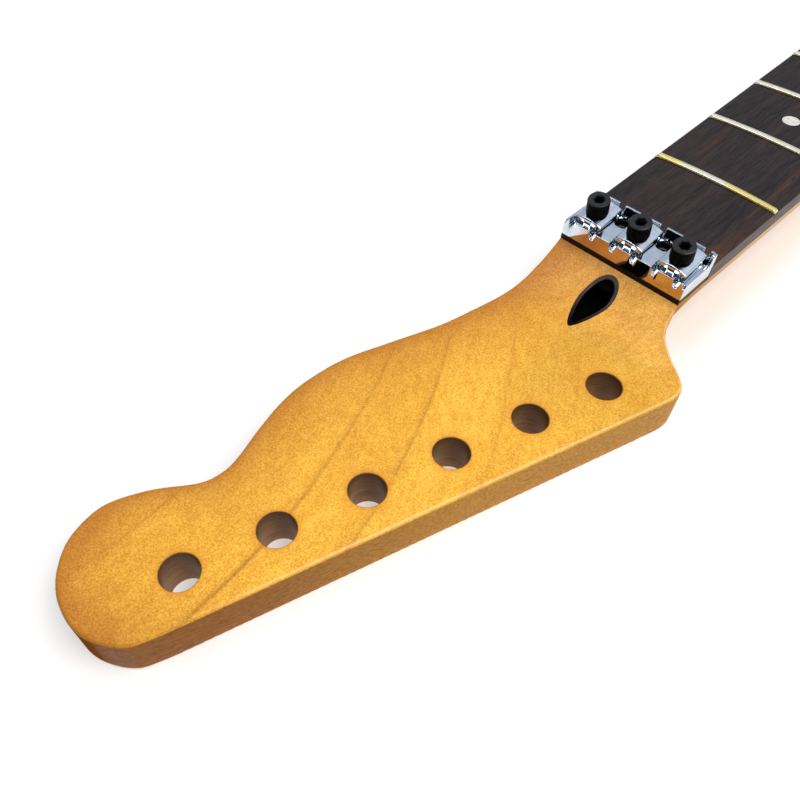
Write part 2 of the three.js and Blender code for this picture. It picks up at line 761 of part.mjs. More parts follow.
// A socket-head screw turned about its own axis, with a hexagonal key recess
function makeClampScrew(name, parent) {
  const seat = padSideHeight + padCrown + padSeatGap;
  const top = seat + screwHeadHeight;
  const profile = [
    [0, -screwReach], [screwRadius, -screwReach], [screwRadius, seat], [screwHeadRadius, seat],
    [screwHeadRadius, top - headBevel], [screwHeadRadius - headBevel, top], [0, top],
  ].map(([r, z]) => new THREE.Vector2(r, z));
  const body = solid(new THREE.LatheGeometry(profile, smallSides).rotateX(Math.PI / 2));
  const key = solid(hexBar(screwKeySize, screwKeyDepth + overrun).translate(0, 0, top - screwKeyDepth));
  piece(name, geometryOf(body.subtract(key)), blackSteel, parent);
}

function makeClamps() {
  clampXs.forEach((x, i) => {
    const clamp = new THREE.Group();
    clamp.position.set(x, screwAxisY, nutFloorHeight);
    clamp.rotation.x = clampTilt;
    neck.add(clamp);
    makePad(`clamp_pad_${i + 1}`, clamp);
    makeClampScrew(`clamp_screw_${i + 1}`, clamp);
  });
}

function makeMountScrews() {
  mountHoleXs.forEach((x, i) => {
    const profile = [
      [0, -mountShankLength], [mountShankRadius, -mountShankLength + mountShankRadius], [mountShankRadius, 0],
      [mountHeadRadius, 0], [mountHeadRadius, mountHeadHeight], [0, mountHeadHeight],
    ].map(([r, z]) => new THREE.Vector2(r, z));
    const body = solid(new THREE.LatheGeometry(profile, smallSides).rotateX(Math.PI / 2));
    const keyFloor = mountHeadHeight - mountKeyDepth;
    const key = solid(hexBar(mountKeySize, mountKeyDepth + overrun).translate(0, 0, keyFloor));
    const mesh = piece(`nut_mount_screw_${i + 1}`, geometryOf(body.subtract(key)), blackSteel);
    mesh.position.set(x, mountHoleY, mountHeadBottom);
  });
}

// Truss rod: a threaded rod under a flat bar, an anchor at the heel and a socket nut at the head
function makeTrussRod() {
  const nutRearY = rodNutFront + rodNutLength;
  const rodStart = nutRearY - rodNutLength + rodNutSocketDepth;
  const anchorStart = channelEnd - rodGap - anchorLength;
  const rod = lyingBar(rodRadius, anchorStart - rodStart - rodGap, smallSides)
    .translate(0, rodStart + rodGap, -rodAxisDrop);
  piece('truss_rod', rod, rodSteel);
  const barBottom = rodRadius + rodGap - rodAxisDrop;
  const flat = block(
    [-flatBarWidth / 2, nutRearY + rodGap, barBottom],
    [flatBarWidth / 2, anchorStart - rodGap, barBottom + flatBarHeight]
  );
  piece('truss_rod_flat_bar', flat, rodSteel);
  const anchor = block(
    [-flatBarWidth / 2, anchorStart, gluePlane - channelDepth + rodGap],
    [flatBarWidth / 2, anchorStart + anchorLength, gluePlane - rodGap]
  );
  piece('truss_rod_anchor', anchor, rodSteel);
  const nut = solid(lyingBar(rodNutRadius, rodNutLength, smallSides).translate(0, rodNutFront, -rodAxisDrop));
  const socket = solid(hexBar(rodNutKeySize, rodNutSocketDepth + overrun).rotateX(-Math.PI / 2)
    .translate(0, rodNutFront - overrun, -rodAxisDrop));
  const thread = solid(lyingBar(rodRadius + rodGap, rodNutLength, smallSides)
    .translate(0, rodNutFront + rodNutSocketDepth, -rodAxisDrop));
  piece('truss_rod_nut', geometryOf(cut(nut, [socket, thread])), rodSteel);
}

makeNeckBlank();
makeSleeve();
makeFingerboard();
frets.forEach(makeFret);
makeDots();
makeNutBase();
makeClamps();
makeMountScrews();
makeTrussRod();

// The origin is the middle of the heel's back face, where the neck seats in a body
const part = new THREE.Group();
neck.position.set(0, heelLength / 2 - heelEnd, neckDepth);
part.add(neck);

export default part;
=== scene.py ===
import math

import bpy
import numpy as np
from mathutils import Matrix, Vector


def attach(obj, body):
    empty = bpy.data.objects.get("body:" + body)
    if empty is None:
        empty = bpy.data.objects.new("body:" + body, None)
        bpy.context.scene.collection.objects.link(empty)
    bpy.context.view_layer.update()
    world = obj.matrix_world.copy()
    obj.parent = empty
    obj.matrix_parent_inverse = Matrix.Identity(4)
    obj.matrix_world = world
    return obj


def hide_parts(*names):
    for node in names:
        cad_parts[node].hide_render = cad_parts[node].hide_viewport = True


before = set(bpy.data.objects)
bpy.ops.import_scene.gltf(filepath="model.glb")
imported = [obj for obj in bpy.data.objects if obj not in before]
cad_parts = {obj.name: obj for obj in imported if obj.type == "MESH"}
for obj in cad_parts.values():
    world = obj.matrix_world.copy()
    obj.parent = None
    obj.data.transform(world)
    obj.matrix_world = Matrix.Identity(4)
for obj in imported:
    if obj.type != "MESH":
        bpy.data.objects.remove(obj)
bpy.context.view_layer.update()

# Camera: held over the headstock's tip on the tuners' side, looking along the neck and down at it.
# Its lens and its small sideways shift give the photograph's frame.
def linked(name, data):
    """A new object of the data, in the scene."""
    made = bpy.data.objects.new(name, data)
    bpy.context.scene.collection.objects.link(made)
    return made


camera_place = (0.078432, -0.616689, 0.178929)
camera_right = Vector((0.68903, 0.72467, -0.00917)).normalized()
camera_azimuth, camera_height = math.radians(47.10), math.radians(51.41)
camera_back = Vector((
    math.sin(camera_azimuth) * math.cos(camera_height),
    -math.cos(camera_azimuth) * math.cos(camera_height),
    math.sin(camera_height),
))
camera_up = camera_back.cross(camera_right).normalized()
camera_back = camera_right.cross(camera_up)
camera = linked("camera", bpy.data.cameras.new("camera"))
camera.matrix_world = Matrix.Translation(camera_place) @ Matrix(
    (camera_right, camera_up, camera_back)
).transposed().to_4x4()
camera.data.sensor_width = 36
camera.data.lens = 34.648
camera.data.shift_x, camera.data.shift_y = 0.03374, 0.0005
camera.data.clip_start, camera.data.clip_end = 0.005, 10
bpy.context.scene.camera = camera
bpy.context.scene.view_settings.view_transform = "Standard"

# Neck and headstock: one plank of maple, bandsawn to its outline, its edges rolled with a router and
# its back shaved to a C. Lengths are in mm from the nut's rear face and the fingerboard's top edge.
SCALE_LENGTH = 648
BOARD_NUT_WIDTH, HEEL_WIDTH, HEEL_END, HEEL_LENGTH = 43, 56, 464, 76
GLUE_PLANE, FACE_Z, BACK_Z = -5.5, -10.9, -25
NUT_LENGTH, NUT_WIDTH, HEAD_LENGTH, SHOULDER_REACH = 15.6, 42.8, 179.2, 38.6
EDGE_ROLL, HEEL_CORNER = 1.1, 3
TUNER_RADIUS, TUNER_PITCH, TUNER_LEAN, BROKEN_RIM = 5, 24.5, math.radians(16.6), 0.25
FIRST_TUNER, EDGE_TO_TUNERS = np.array([22.8, -51.5]), 12.6
TUNER_LINE = np.array([-math.sin(TUNER_LEAN), -math.cos(TUNER_LEAN)])
TUNER_PLACES = FIRST_TUNER + np.arange(6)[:, None] * TUNER_PITCH * TUNER_LINE
CHANNEL_WIDTH, CHANNEL_DEPTH, CHANNEL_START, CHANNEL_END, ROD_Z = 6.4, 10.4, 2, 440, -13.2
STRING_PITCH, MOUNT_Y = 7.4, -5.2
HEEL_SEAT = np.array([0, HEEL_LENGTH / 2 - HEEL_END, -BACK_Z])
CURVED_EDGE = np.array([
    [0, -0.554], [0.05, -0.535], [0.115, -0.528], [0.165, -0.547], [0.22, -0.591],
    [0.287, -0.658], [0.37, -0.79], [0.45, -0.909], [0.52, -0.943], [0.575, -0.92],
    [0.635, -0.842], [0.69, -0.752], [0.722, -0.729], [0.756, -0.767], [0.81, -0.937],
    [0.86, -1.04], [0.895, -1.051], [0.938, -0.987], [0.97, -0.855], [0.988, -0.715], [0.9955, -0.575],
    [0.9965, -0.455], [0.991, -0.345], [0.9785, -0.238], [0.9655, -0.1655], [0.9524, -0.1225],
])
SHOULDER = np.array([
    [0, 0.554], [0.02, 0.58], [0.04, 0.606], [0.055, 0.643], [0.067, 0.694], [0.087, 0.812],
    [0.101, 0.912], [0.114, 0.98], [0.126, 1.007], [0.137, 1.01], [0.15, 0.9995], [0.165, 0.9795],
    [0.19, 0.9456],
])


def in_frame(points):
    """Millimetres from the nut to metres in the part's frame, whose origin is the heel's flat back."""
    return (np.asarray(points, float) + HEEL_SEAT) / 1000


def head_points(shares):
    """Shares along and across the headstock to x and y: y = -nut - along * length, x = across * reach."""
    return np.stack([shares[:, 1] * SHOULDER_REACH, -NUT_LENGTH - shares[:, 0] * HEAD_LENGTH], 1)


def drawn_through(points):
    """A smooth curve through the points: a cubic between each two, its slope at a point being half the
    chord between that point's neighbours."""
    p = np.vstack([points[:1], points, points[-1:]])
    t = np.linspace(0, 1, 60, endpoint=False)[None, :, None]
    a, b, c, d = (p[i:len(p) - 3 + i, None, :] for i in range(4))
    v, w = (c - a) / 2, (d - b) / 2
    curve = (2 * b - 2 * c + v + w) * t**3 + (3 * c - 3 * b - 2 * v - w) * t**2 + v * t + b
    return np.vstack([curve.reshape(-1, 2), points[-1:]])


def straight_edge(y):
    """x of the tuners' edge, a line that leans with the row of holes."""
    across = FIRST_TUNER[0] + EDGE_TO_TUNERS / math.cos(TUNER_LEAN)
    return across - (FIRST_TUNER[1] - y) * math.tan(TUNER_LEAN)


def blade_half(y):
    """Half the fingerboard's width, a straight taper from the nut to the heel."""
    return (BOARD_NUT_WIDTH + (HEEL_WIDTH - BOARD_NUT_WIDTH) * np.clip(y / HEEL_END, 0, None)) / 2


corner_points = head_points(CURVED_EDGE)
corner_y = corner_points[-1, 1] + 6
round_tip = drawn_through(np.vstack([corner_points, [[straight_edge(corner_y), corner_y]]]))
nose = round_tip[:, 1].argmin()
left_curve, tip_curve = round_tip[:nose + 1], round_tip[nose:]
shoulder_curve = drawn_through(head_points(SHOULDER))
NOSE_Y = round_tip[nose, 1]


def left_edge(y):
    """x of the curved edge, or of the blade behind the nut."""
    curved = np.interp(-y, -left_curve[:, 1], left_curve[:, 0])
    return np.where(y > -NUT_LENGTH, -blade_half(y), curved)


def right_edge(y):
    """x of the shoulder, the straight edge, the tip's corner, or of the blade behind the nut."""
    x = np.where(y < tip_curve[-1, 1], np.interp(y, tip_curve[:, 1], tip_curve[:, 0]), straight_edge(y))
    at_shoulder = np.interp(-y, -shoulder_curve[:, 1], shoulder_curve[:, 0])
    x = np.where(y > shoulder_curve[-1, 1], at_shoulder, x)
    return np.where(y > -NUT_LENGTH, blade_half(y), x)


def smooth(share):
    """0 to 1 with level ends: 3s^2 - 2s^3."""
    s = np.clip(share, 0, 1)
    return s * s * (3 - 2 * s)


def rolled(radius, distance):
    """How far a round edge falls at a distance d in from the edge: r - sqrt(r^2 - (r - d)^2)."""
    inside = np.clip(radius - distance, 0, radius)
    return radius - np.sqrt(np.maximum(radius * radius - inside * inside, 0))


def ramp_top(x, y):
    """Height of the maple's top: the glue plane, and past the nut a parabola down to the face, whose
    foot swings away from the nut towards both edges."""
    foot = -NUT_LENGTH - 10 - 20 * np.clip(np.abs(x) / (NUT_WIDTH / 2), 0, 1) ** 2
    climb = np.clip((y - foot) / (-NUT_LENGTH - foot), 0, 1)
    return np.where(y >= -NUT_LENGTH, GLUE_PLANE, FACE_Z + (GLUE_PLANE - FACE_Z) * climb**2)


def outline_distance(x, y):
    """Distance in plan from each point to the headstock's outline, the nearest of its drawn points."""
    side_y = np.linspace(shoulder_curve[-1, 1], tip_curve[-1, 1], 600)
    side = np.stack([straight_edge(side_y), side_y], 1)
    back_y = np.linspace(-NUT_LENGTH, 40, 300)
    blade = np.vstack([np.stack([s * blade_half(back_y), back_y], 1) for s in (-1, 1)])
    drawn = np.vstack([round_tip, side, shoulder_curve, blade])
    points = np.stack([x.ravel(), y.ravel()], 1)
    nearest = np.empty(len(points))
    for start in range(0, len(points), 4000):
        part = points[start:start + 4000]
        square = ((part[:, None, :] - drawn[None]) ** 2).sum(2)
        nearest[start:start + 4000] = np.sqrt(square.min(1))
    return nearest.reshape(x.shape)


def neck_stations():
    """y of the neck's sections: close at the tip, 0.6 mm apart on the headstock, long on the shaft."""
    turn = np.linspace(0, np.pi / 2, 34)[1:]
    heel_start = HEEL_END - HEEL_LENGTH
    bend = heel_start - HEEL_LENGTH / 3
    corner = HEEL_END - HEEL_CORNER * (1 - np.cos(np.linspace(np.pi / 2, 0, 9)))
    return np.concatenate([
        [NOSE_Y + 1e-4], NOSE_Y + 14 * (1 - np.cos(turn)), np.arange(NOSE_Y + 14.6, -NUT_LENGTH, 0.6),
        np.linspace(-NUT_LENGTH, 0, 20), np.arange(8, bend, 8), np.linspace(bend, heel_start, 26),
        [heel_start + 12, heel_start + 40], corner,
    ])


def neck_surface(y):
    """The neck as a grid of y against a turn round its section: across the top, down the right side,
    back underneath and up the left side. The underside passes from a flat back with rolled edges to a
    C, an ellipse whose power is 2.2, as 3s^2 - 2s^3 between the two."""
    y = y[:, None]
    heel_start = HEEL_END - HEEL_LENGTH
    square = np.maximum(smooth((-4 - y) / 40), smooth((y - heel_start) / (HEEL_LENGTH / 3) + 1))
    drawn_in = rolled(HEEL_CORNER, HEEL_END - y)
    left, right = left_edge(y) + drawn_in, right_edge(y) - drawn_in
    shaft_back = -20.3 - 2.5 * np.clip(y / heel_start, 0, None)
    bottom = BACK_Z * square + shaft_back * (1 - square)
    width = right - left
    slopes = [np.hypot(1, np.gradient(edge[:, 0], y[:, 0]))[:, None] for edge in (left, right)]
    roll_left, roll_right = (np.minimum(EDGE_ROLL * np.clip(s, 1, 1 / 0.35), width / 2.2) for s in slopes)
    inset = 1 - np.cos(np.linspace(0, np.pi / 2, 7, endpoint=False))
    row = np.hstack([
        left + roll_left * inset,
        left + roll_left + (width - roll_left - roll_right) * np.linspace(0, 1, 41),
        (right - roll_right * inset)[:, ::-1],
    ])
    ys = np.broadcast_to(y, row.shape)
    near = outline_distance(row, ys)
    near[y[:, 0] > 20] = EDGE_ROLL
    near[:, [0, -1]] = 0
    top_roll = 0.1 + (EDGE_ROLL - 0.1) * np.where(y < 0, square, 0)
    top = ramp_top(row, ys) - rolled(top_roll, near)
    under = bottom + rolled(EDGE_ROLL, near)
    wall = np.linspace(0, 1, 5)[1:-1]
    right_z = top[:, -1:] + (under[:, -1:] - top[:, -1:]) * wall
    left_z = (top[:, :1] + (under[:, :1] - top[:, :1]) * wall)[:, ::-1]
    x_under = np.hstack([right + 0 * wall, row[:, ::-1], left + 0 * wall])
    z_under = np.hstack([right_z, under[:, ::-1], left_z])
    turn = np.concatenate([
        np.linspace(0, 2, 5)[1:-1], 2 + 2 * np.arange(7) / 7, np.linspace(4, 10, 41),
        (12 - 2 * np.arange(7) / 7)[::-1], np.linspace(12, 14, 5)[1:-1],
    ])[None] * np.pi / 14
    power = 2 / 2.2
    sweep = np.sign(np.cos(turn)) * np.abs(np.cos(turn)) ** power
    edge_z = top[:, -1:] + (top[:, :1] - top[:, -1:]) * turn / np.pi
    x_round = (left + right + (right - left) * sweep) / 2
    z_round = edge_z - (edge_z - bottom) * np.abs(np.sin(turn)) ** power
    x_under = x_under * square + x_round * (1 - square)
    z_under = z_under * square + z_round * (1 - square)
    x, z = np.hstack([row, x_under]), np.hstack([top, z_under])
    return np.stack([x, np.broadcast_to(y, x.shape), z], 2)


def shell(name, points, faces, smooth_angle=35):
    """A mesh object from points in mm and faces, with edges sharper than the angle left crisp."""
    mesh = bpy.data.meshes.new(name)
    mesh.from_pydata(in_frame(points), [], faces)
    return finished(name, mesh, smooth_angle)


def finished(name, mesh, smooth_angle):
    """The mesh as an object at the origin, shaded smooth except across edges sharper than the angle."""
    mesh.validate()
    mesh.polygons.foreach_set("use_smooth", np.ones(len(mesh.polygons), bool))
    mesh.set_sharp_from_angle(angle=math.radians(smooth_angle))
    return linked(name, mesh)


def tube(grid):
    """A grid of closed rings of points as points and faces, with a lid on both ends."""
    rows, columns = grid.shape[:2]
    i, k = np.meshgrid(np.arange(rows - 1), np.arange(columns), indexing="ij")
    n = (k + 1) % columns
    quads = np.stack([i * columns + k, i * columns + n, (i + 1) * columns + n, (i + 1) * columns + k], -1)
    first, last = list(range(columns))[::-1], list(range((rows - 1) * columns, rows * columns))
    return grid.reshape(-1, 3), [*quads.reshape(-1, 4).tolist(), first, last]


def flipped(points, faces):
    """The same surface with its faces turned to their other side."""
    return points, [face[::-1] for face in faces]


def turned(profile, sides):
    """A profile of (radius, height) spun about the z axis: x = r cos a, y = r sin a, z = h. A radius may
    be one number for each side. The faces point outwards when the profile rises along the outside."""
    a = np.linspace(0, 2 * np.pi, sides, endpoint=False)
    r = np.array([np.broadcast_to(radius, sides) for radius, height in profile], float)
    h = np.array([[height] * sides for radius, height in profile], float)
    return tube(np.stack([r * np.cos(a), r * np.sin(a), h], 2))


def gathered(parts):
    """Several lots of points and faces as one."""
    points, faces, count = [], [], 0
    for p, f in parts:
        points.append(p)
        faces += [[i + count for i in face] for face in f]
        count += len(p)
    return np.vstack(points), faces


def carved(name, body, tools, smooth_angle=35):
    """The body with the tools cut away, as a new object."""
    for n, tool in enumerate(tools):
        cutter = shell(f"{name}_tool_{n}", *tool)
        cut = body.modifiers.new(f"cut_{n}", "BOOLEAN")
        cut.object, cut.operation, cut.solver = cutter, "DIFFERENCE", "EXACT"
        seen = body.evaluated_get(bpy.context.evaluated_depsgraph_get())
        mesh = bpy.data.meshes.new_from_object(seen)
        for done in (body, cutter):
            spent = done.data
            bpy.data.objects.remove(done)
            bpy.data.meshes.remove(spent)
        mesh.name = name
        body = finished(name, mesh, smooth_angle)
    return body


def tuner_holes():
    """The six holes, each 10 mm across, its two rims broken by a quarter of a millimetre."""
    rim = TUNER_RADIUS + BROKEN_RIM
    profile = [
        (0.01, BACK_Z - 2), (rim, BACK_Z - 2), (rim, BACK_Z), (TUNER_RADIUS, BACK_Z + BROKEN_RIM),
        (TUNER_RADIUS, FACE_Z - BROKEN_RIM), (rim, FACE_Z), (rim, FACE_Z + 2), (0.01, FACE_Z + 2),
    ]
    round_hole, faces = turned(profile, 96)
    return gathered([(round_hole + (*place, 0), faces) for place in TUNER_PLACES])


def upright(rim, *heights):
    """A closed outline in plan carried up through heights, each one number or one for every point."""
    level = np.zeros(len(rim))
    return tube(np.array([np.column_stack([rim, level + height]) for height in heights]))


SLEEVE_TIP, SLEEVE_TOP, SLEEVE_WIDTH, SLEEVE_SKEW = -39.9, -17, 9.7, math.radians(4)
SLEEVE_BOTTOM, SLEEVE_SLOPE = -18.6, math.tan(math.radians(27))


def sleeve_outline(inset):
    """The truss rod sleeve's rim in plan, four Bezier arcs: round at the nut's end and narrowing to a
    blunt point towards the tip, turned 4 degrees. inset draws it in."""
    half, top, tip = SLEEVE_WIDTH / 2 - inset, SLEEVE_TOP - inset, SLEEVE_TIP + 2 * inset
    y = SLEEVE_TOP - (SLEEVE_TOP - SLEEVE_TIP) * 0.34
    side = [
        [(0, top), (-half * 0.62, top), (-half, y + half), (-half, y)],
        [(-half, y), (-half, y - half), (-half * 0.3, tip), (0, tip)],
    ]
    t = np.linspace(0, 1, 24, endpoint=False)[:, None]
    arcs = [
        (1 - t) ** 3 * a + 3 * (1 - t) ** 2 * t * b + 3 * (1 - t) * t**2 * c + t**3 * d
        for a, b, c, d in np.array(side, float)
    ]
    left = np.vstack(arcs)
    right = np.vstack([[[0, tip]], left[:0:-1] * (-1, 1)])
    outline = np.vstack([left, right]) - (0, SLEEVE_TOP)
    c, s = math.cos(SLEEVE_SKEW), math.sin(SLEEVE_SKEW)
    return outline @ np.array([[c, s], [-s, c]]) + (0, SLEEVE_TOP)


def sleeve_floor(y, thickness):
    """The sleeve's floor slopes down 27 degrees from its tip to a level bottom."""
    slope = FACE_Z - 1 + thickness - SLEEVE_SLOPE * (y - SLEEVE_TIP)
    return np.maximum(slope, SLEEVE_BOTTOM + thickness)


def sleeve_pocket():
    """The routed pocket that the sleeve is pushed into, a tenth of a millimetre wider than it."""
    rim = sleeve_outline(-0.1)
    return upright(rim, sleeve_floor(rim[:, 1], -0.15), 0)


def about_rod(profile):
    """A turned shape laid along +y about the truss rod's axis."""
    points, faces = turned(profile, 48)
    return points[:, [0, 2, 1]] * (-1, 1, 1) + (0, 0, ROD_Z), faces


def rod_hollows():
    """The bore that the truss rod's nut turns in, and the holes of the clamping nut's two screws."""
    bore = about_rod([(0.01, -19), (4.2, -19), (4.2, 2.2), (0.01, 2.2)])
    hole, faces = turned([(0.01, -15.6), (1.4, -15.6), (1.4, 0), (0.01, 0)], 32)
    return gathered([bore, *((hole + (x, MOUNT_Y, 0), faces) for x in (-STRING_PITCH, STRING_PITCH))])


neck = shell("maple_neck", *flipped(*tube(neck_surface(neck_stations()))))
across, along = CHANNEL_WIDTH / 2, (CHANNEL_START, CHANNEL_END)
channel_rim = [(-across, along[0]), (across, along[0]), (across, along[1]), (-across, along[1])]
channel = upright(channel_rim, GLUE_PLANE - CHANNEL_DEPTH, 0)
neck = carved("maple_neck", neck, [gathered([tuner_holes(), sleeve_pocket(), channel]), rod_hollows()])


def mark(made, **numbers):
    """Keeps numbers for each point of the mesh, by name, for its material to read."""
    for name, values in numbers.items():
        kept = made.data.attributes.new(name, "FLOAT", "POINT")
        kept.data.foreach_set("value", np.asarray(values, np.float32))


def numbers_of(made, kind):
    """What the mesh keeps for its points: their places, "co", or their normals, "normal"."""
    values = np.empty(len(made.data.vertices) * 3, np.float32)
    made.data.vertices.foreach_get(kind, values)
    return values.reshape(-1, 3)


def points_of(made):
    """The mesh's points in mm from the nut."""
    return numbers_of(made, "co") * 1000 - HEEL_SEAT


# The growth lines arch across the headstock, because the plank was not sawn quite along the grain: they
# are level lines of x + 0.36 (y + 40) + 4.5 ((y + 118) / 40)^2 there, and of x alone on the shaft.
x, y, z = points_of(neck).T
lean = 0.36 * np.minimum(y + 40, 0) + 4.5 * ((np.clip(y, -200, -40) + 118) / 40) ** 2
lean *= smooth((-15 - y) / 40)
grain = neck.data.attributes.new("grain", "FLOAT_VECTOR", "POINT")
grain.data.foreach_set("vector", (np.column_stack([x + lean, y, z]) / 1000).astype(np.float32).ravel())
on_head = y < 20
near_edge = np.full(len(x), 9.0)
near_edge[on_head] = outline_distance(x[on_head], y[on_head])
from_curve = np.minimum(x - left_edge(y), 1.3 * (y - NOSE_Y))
from_bore = np.min([np.hypot(x - place[0], y - place[1]) for place in TUNER_PLACES], 0) - TUNER_RADIUS
on_face = z > FACE_Z - 0.1
thick = 1.02 * np.exp(-np.maximum(from_curve, 0) / 10) * (y < -NUT_LENGTH)
thick += 0.35 * smooth((-158 - y) / 34)
thick += 0.12 * smooth((y + 78) / 34) * np.clip((36 - x) / 20, 0, 1) + 0.05
lit_edge = (from_curve > 6) & (z > FACE_Z - 1.2) & (y < -NUT_LENGTH - 2)
mark(
    neck,
    rim=np.exp(-near_edge / 1.6) * (0.2 + 0.8 * smooth((straight_edge(y) - x) / 8)),
    wall=1 - np.abs(numbers_of(neck, "normal")[:, 2]),
    lacquer=thick,
    tip=smooth((-95 - y) / 85),
    shaft=smooth((y + 14) / 30) * smooth((230 - y) / 110),
    bore=(from_bore < 0.1) & (z < FACE_Z - 0.1),
    # Painted shade on each tuner hole's broken rim and just round it.
    halo=np.exp(-np.maximum(from_bore - BROKEN_RIM, 0) / 0.9) * on_face,
    # Painted highlight along the top of the rolled straight edge and shoulder.
    glint=smooth(1 - np.abs(near_edge - 0.5) / 0.4) * smooth((y + 178) / 30) * lit_edge,
    blush=smooth((y + 47) / 22) * smooth((8 - y) / 12),
    # Painted shade on the shoulder side of the face, from the nut to the second tuner.
    horn=smooth((-30 - y) / 10) * smooth((y + 85) / 25) * smooth((x + 5) / 12),
    # Painted shade on the headstock's lower rolled edges.
    keel=smooth((BACK_Z + 1.2 - z) / 0.9) * (y < -NUT_LENGTH - 4),
)


def put(value, socket):
    """Links an output to a socket, or sets the socket to a plain number, vector or colour."""
    if isinstance(value, bpy.types.NodeSocket):
        socket.id_data.links.new(value, socket)
    elif isinstance(value, tuple) and len(value) < len(socket.default_value):
        socket.default_value = (*value, 1)
    else:
        socket.default_value = value


def fed(made, **settings):
    """The node with its settings; one named after a socket, with _ for a space, goes into that socket."""
    for name, value in settings.items():
        if hasattr(made, name):
            setattr(made, name, value)
        else:
            put(value, made.inputs[name.replace("_", " ")])
    return made


def node(tree, kind, **settings):
    """A new shader node with its settings."""
    return fed(tree.nodes.new(kind), **settings)


def beside(values, kind, **settings):
    """A new node in the tree of the first output among the values."""
    return node(next(v.id_data for v in values if isinstance(v, bpy.types.NodeSocket)), kind, **settings)


def coordinate(vector, axis):
    """One of a vector's three numbers."""
    return beside([vector], "ShaderNodeSeparateXYZ", Vector=vector).outputs[axis]


def attribute(tree, name, output="Fac"):
    """A number, or with output "Vector" a place, that the mesh keeps for its points."""
    return node(tree, "ShaderNodeAttribute", attribute_name=name).outputs[output]


def colours(factor, stops):
    """A colour ramp read by factor, with stops of (place, colour)."""
    ramp = beside([factor], "ShaderNodeValToRGB", Fac=factor)
    while len(ramp.color_ramp.elements) < len(stops):
        ramp.color_ramp.elements.new(0.5)
    for element, (place, colour) in zip(ramp.color_ramp.elements, stops):
        element.position, element.color = place, (*colour, 1)
    return ramp.outputs["Color"]


def levels(factor, low, high, start=0.0, end=1.0):
    """factor between low and high taken to start to end, and held there."""
    return beside([factor], "ShaderNodeMapRange", Value=factor, From_Min=low, From_Max=high, To_Min=start,
                  To_Max=end).outputs["Result"]


def mixed(factor, a, b, blend="MIX"):
    """Two colours mixed by factor; each may be an output or a plain colour."""
    made = beside([factor, a, b], "ShaderNodeMix", data_type="RGBA", blend_type=blend)
    for value, place in ((factor, 0), (a, 6), (b, 7)):
        put(value, made.inputs[place])
    return made.outputs[2]


def sums(operation, a, b):
    """One sum of two numbers, each an output or a plain number."""
    made = beside([a, b], "ShaderNodeMath", operation=operation)
    put(a, made.inputs[0])
    put(b, made.inputs[1])
    return made.outputs[0]


def times(first, *others):
    """The product of two or more numbers, each an output or a plain number."""
    for other in others:
        first = sums("MULTIPLY", first, other)
    return first


def stretched(vector, scale, turn=(0, 0, 0)):
    """Coordinates scaled by axis, so that a texture read with them runs long where the scale is small."""
    made = beside([vector], "ShaderNodeMapping", Vector=vector, Scale=scale, Rotation=turn)
    return made.outputs["Vector"]


def noise(vector, scale, detail=2, roughness=0.5, distortion=0):
    """A noise value at a scale of so many to the metre."""
    return beside([vector], "ShaderNodeTexNoise", Vector=vector, Scale=scale, Detail=detail,
                  Roughness=roughness, Distortion=distortion).outputs["Fac"]


def group(name, inputs, outputs):
    """An empty node group with named sockets, its input and its output node."""
    tree = bpy.data.node_groups.new(name, "ShaderNodeTree")
    for label, kind, value in inputs:
        socket = tree.interface.new_socket(label, in_out="INPUT", socket_type=kind)
        if value is not None:
            socket.default_value = value
    for label, kind in outputs:
        tree.interface.new_socket(label, in_out="OUTPUT", socket_type=kind)
    return tree, node(tree, "NodeGroupInput"), node(tree, "NodeGroupOutput")


def wood_grain_group():
    """Wood seen close up: broad tonal bands, short fibres and open pores, all long in y, and the place
    across the grain, pushed about a little, for growth lines."""
    tree, given, out = group(
        "wood_grain",
        [("Vector", "NodeSocketVector", None), ("Bands", "NodeSocketFloat", 60.0),
         ("Fibres", "NodeSocketFloat", 900.0), ("Bend", "NodeSocketFloat", 0.006)],
        [(label, "NodeSocketFloat") for label in ("Tone", "Across", "Fibre", "Pores")],
    )
    vector, fibres = given.outputs["Vector"], given.outputs["Fibres"]
    slow = noise(stretched(vector, (1, 0.35, 1)), 22)
    push = times(sums("SUBTRACT", slow, 0.5), given.outputs["Bend"])
    across, up = (sums("ADD", coordinate(vector, axis), push) for axis in (0, 2))
    bent = node(tree, "ShaderNodeCombineXYZ", X=across, Y=coordinate(vector, 1), Z=up).outputs[0]
    pores = noise(stretched(bent, (1.6, 0.07, 1.6)), fibres, 1)
    fed(
        out, Across=across, Pores=levels(pores, 0.6, 0.72),
        Tone=noise(stretched(bent, (1, 0.045, 1)), given.outputs["Bands"], 3, 0.6),
        Fibre=noise(stretched(bent, (1, 0.05, 1)), fibres, 2, 0.65),
    )
    return tree


WOOD_GRAIN = wood_grain_group()


def new_material(name):
    """A node material, its tree, its Principled shader and the place on the object, in metres."""
    made = bpy.data.materials.new(name)
    made.use_nodes = True
    tree = made.node_tree
    return made, tree, tree.nodes["Principled BSDF"], node(tree, "ShaderNodeTexCoord").outputs["Object"]


def shared(tree, vector, **settings):
    """The outputs of a node group that reads a vector."""
    return beside([vector], "ShaderNodeGroup", node_tree=tree, Vector=vector, **settings).outputs


def bumped(shader, height, depth):
    """Relief on the shader's normal from a height of 0 to 1, its full depth in metres."""
    relief = beside([height], "ShaderNodeBump", Height=height, Distance=depth)
    fed(shader, Normal=relief.outputs["Normal"])


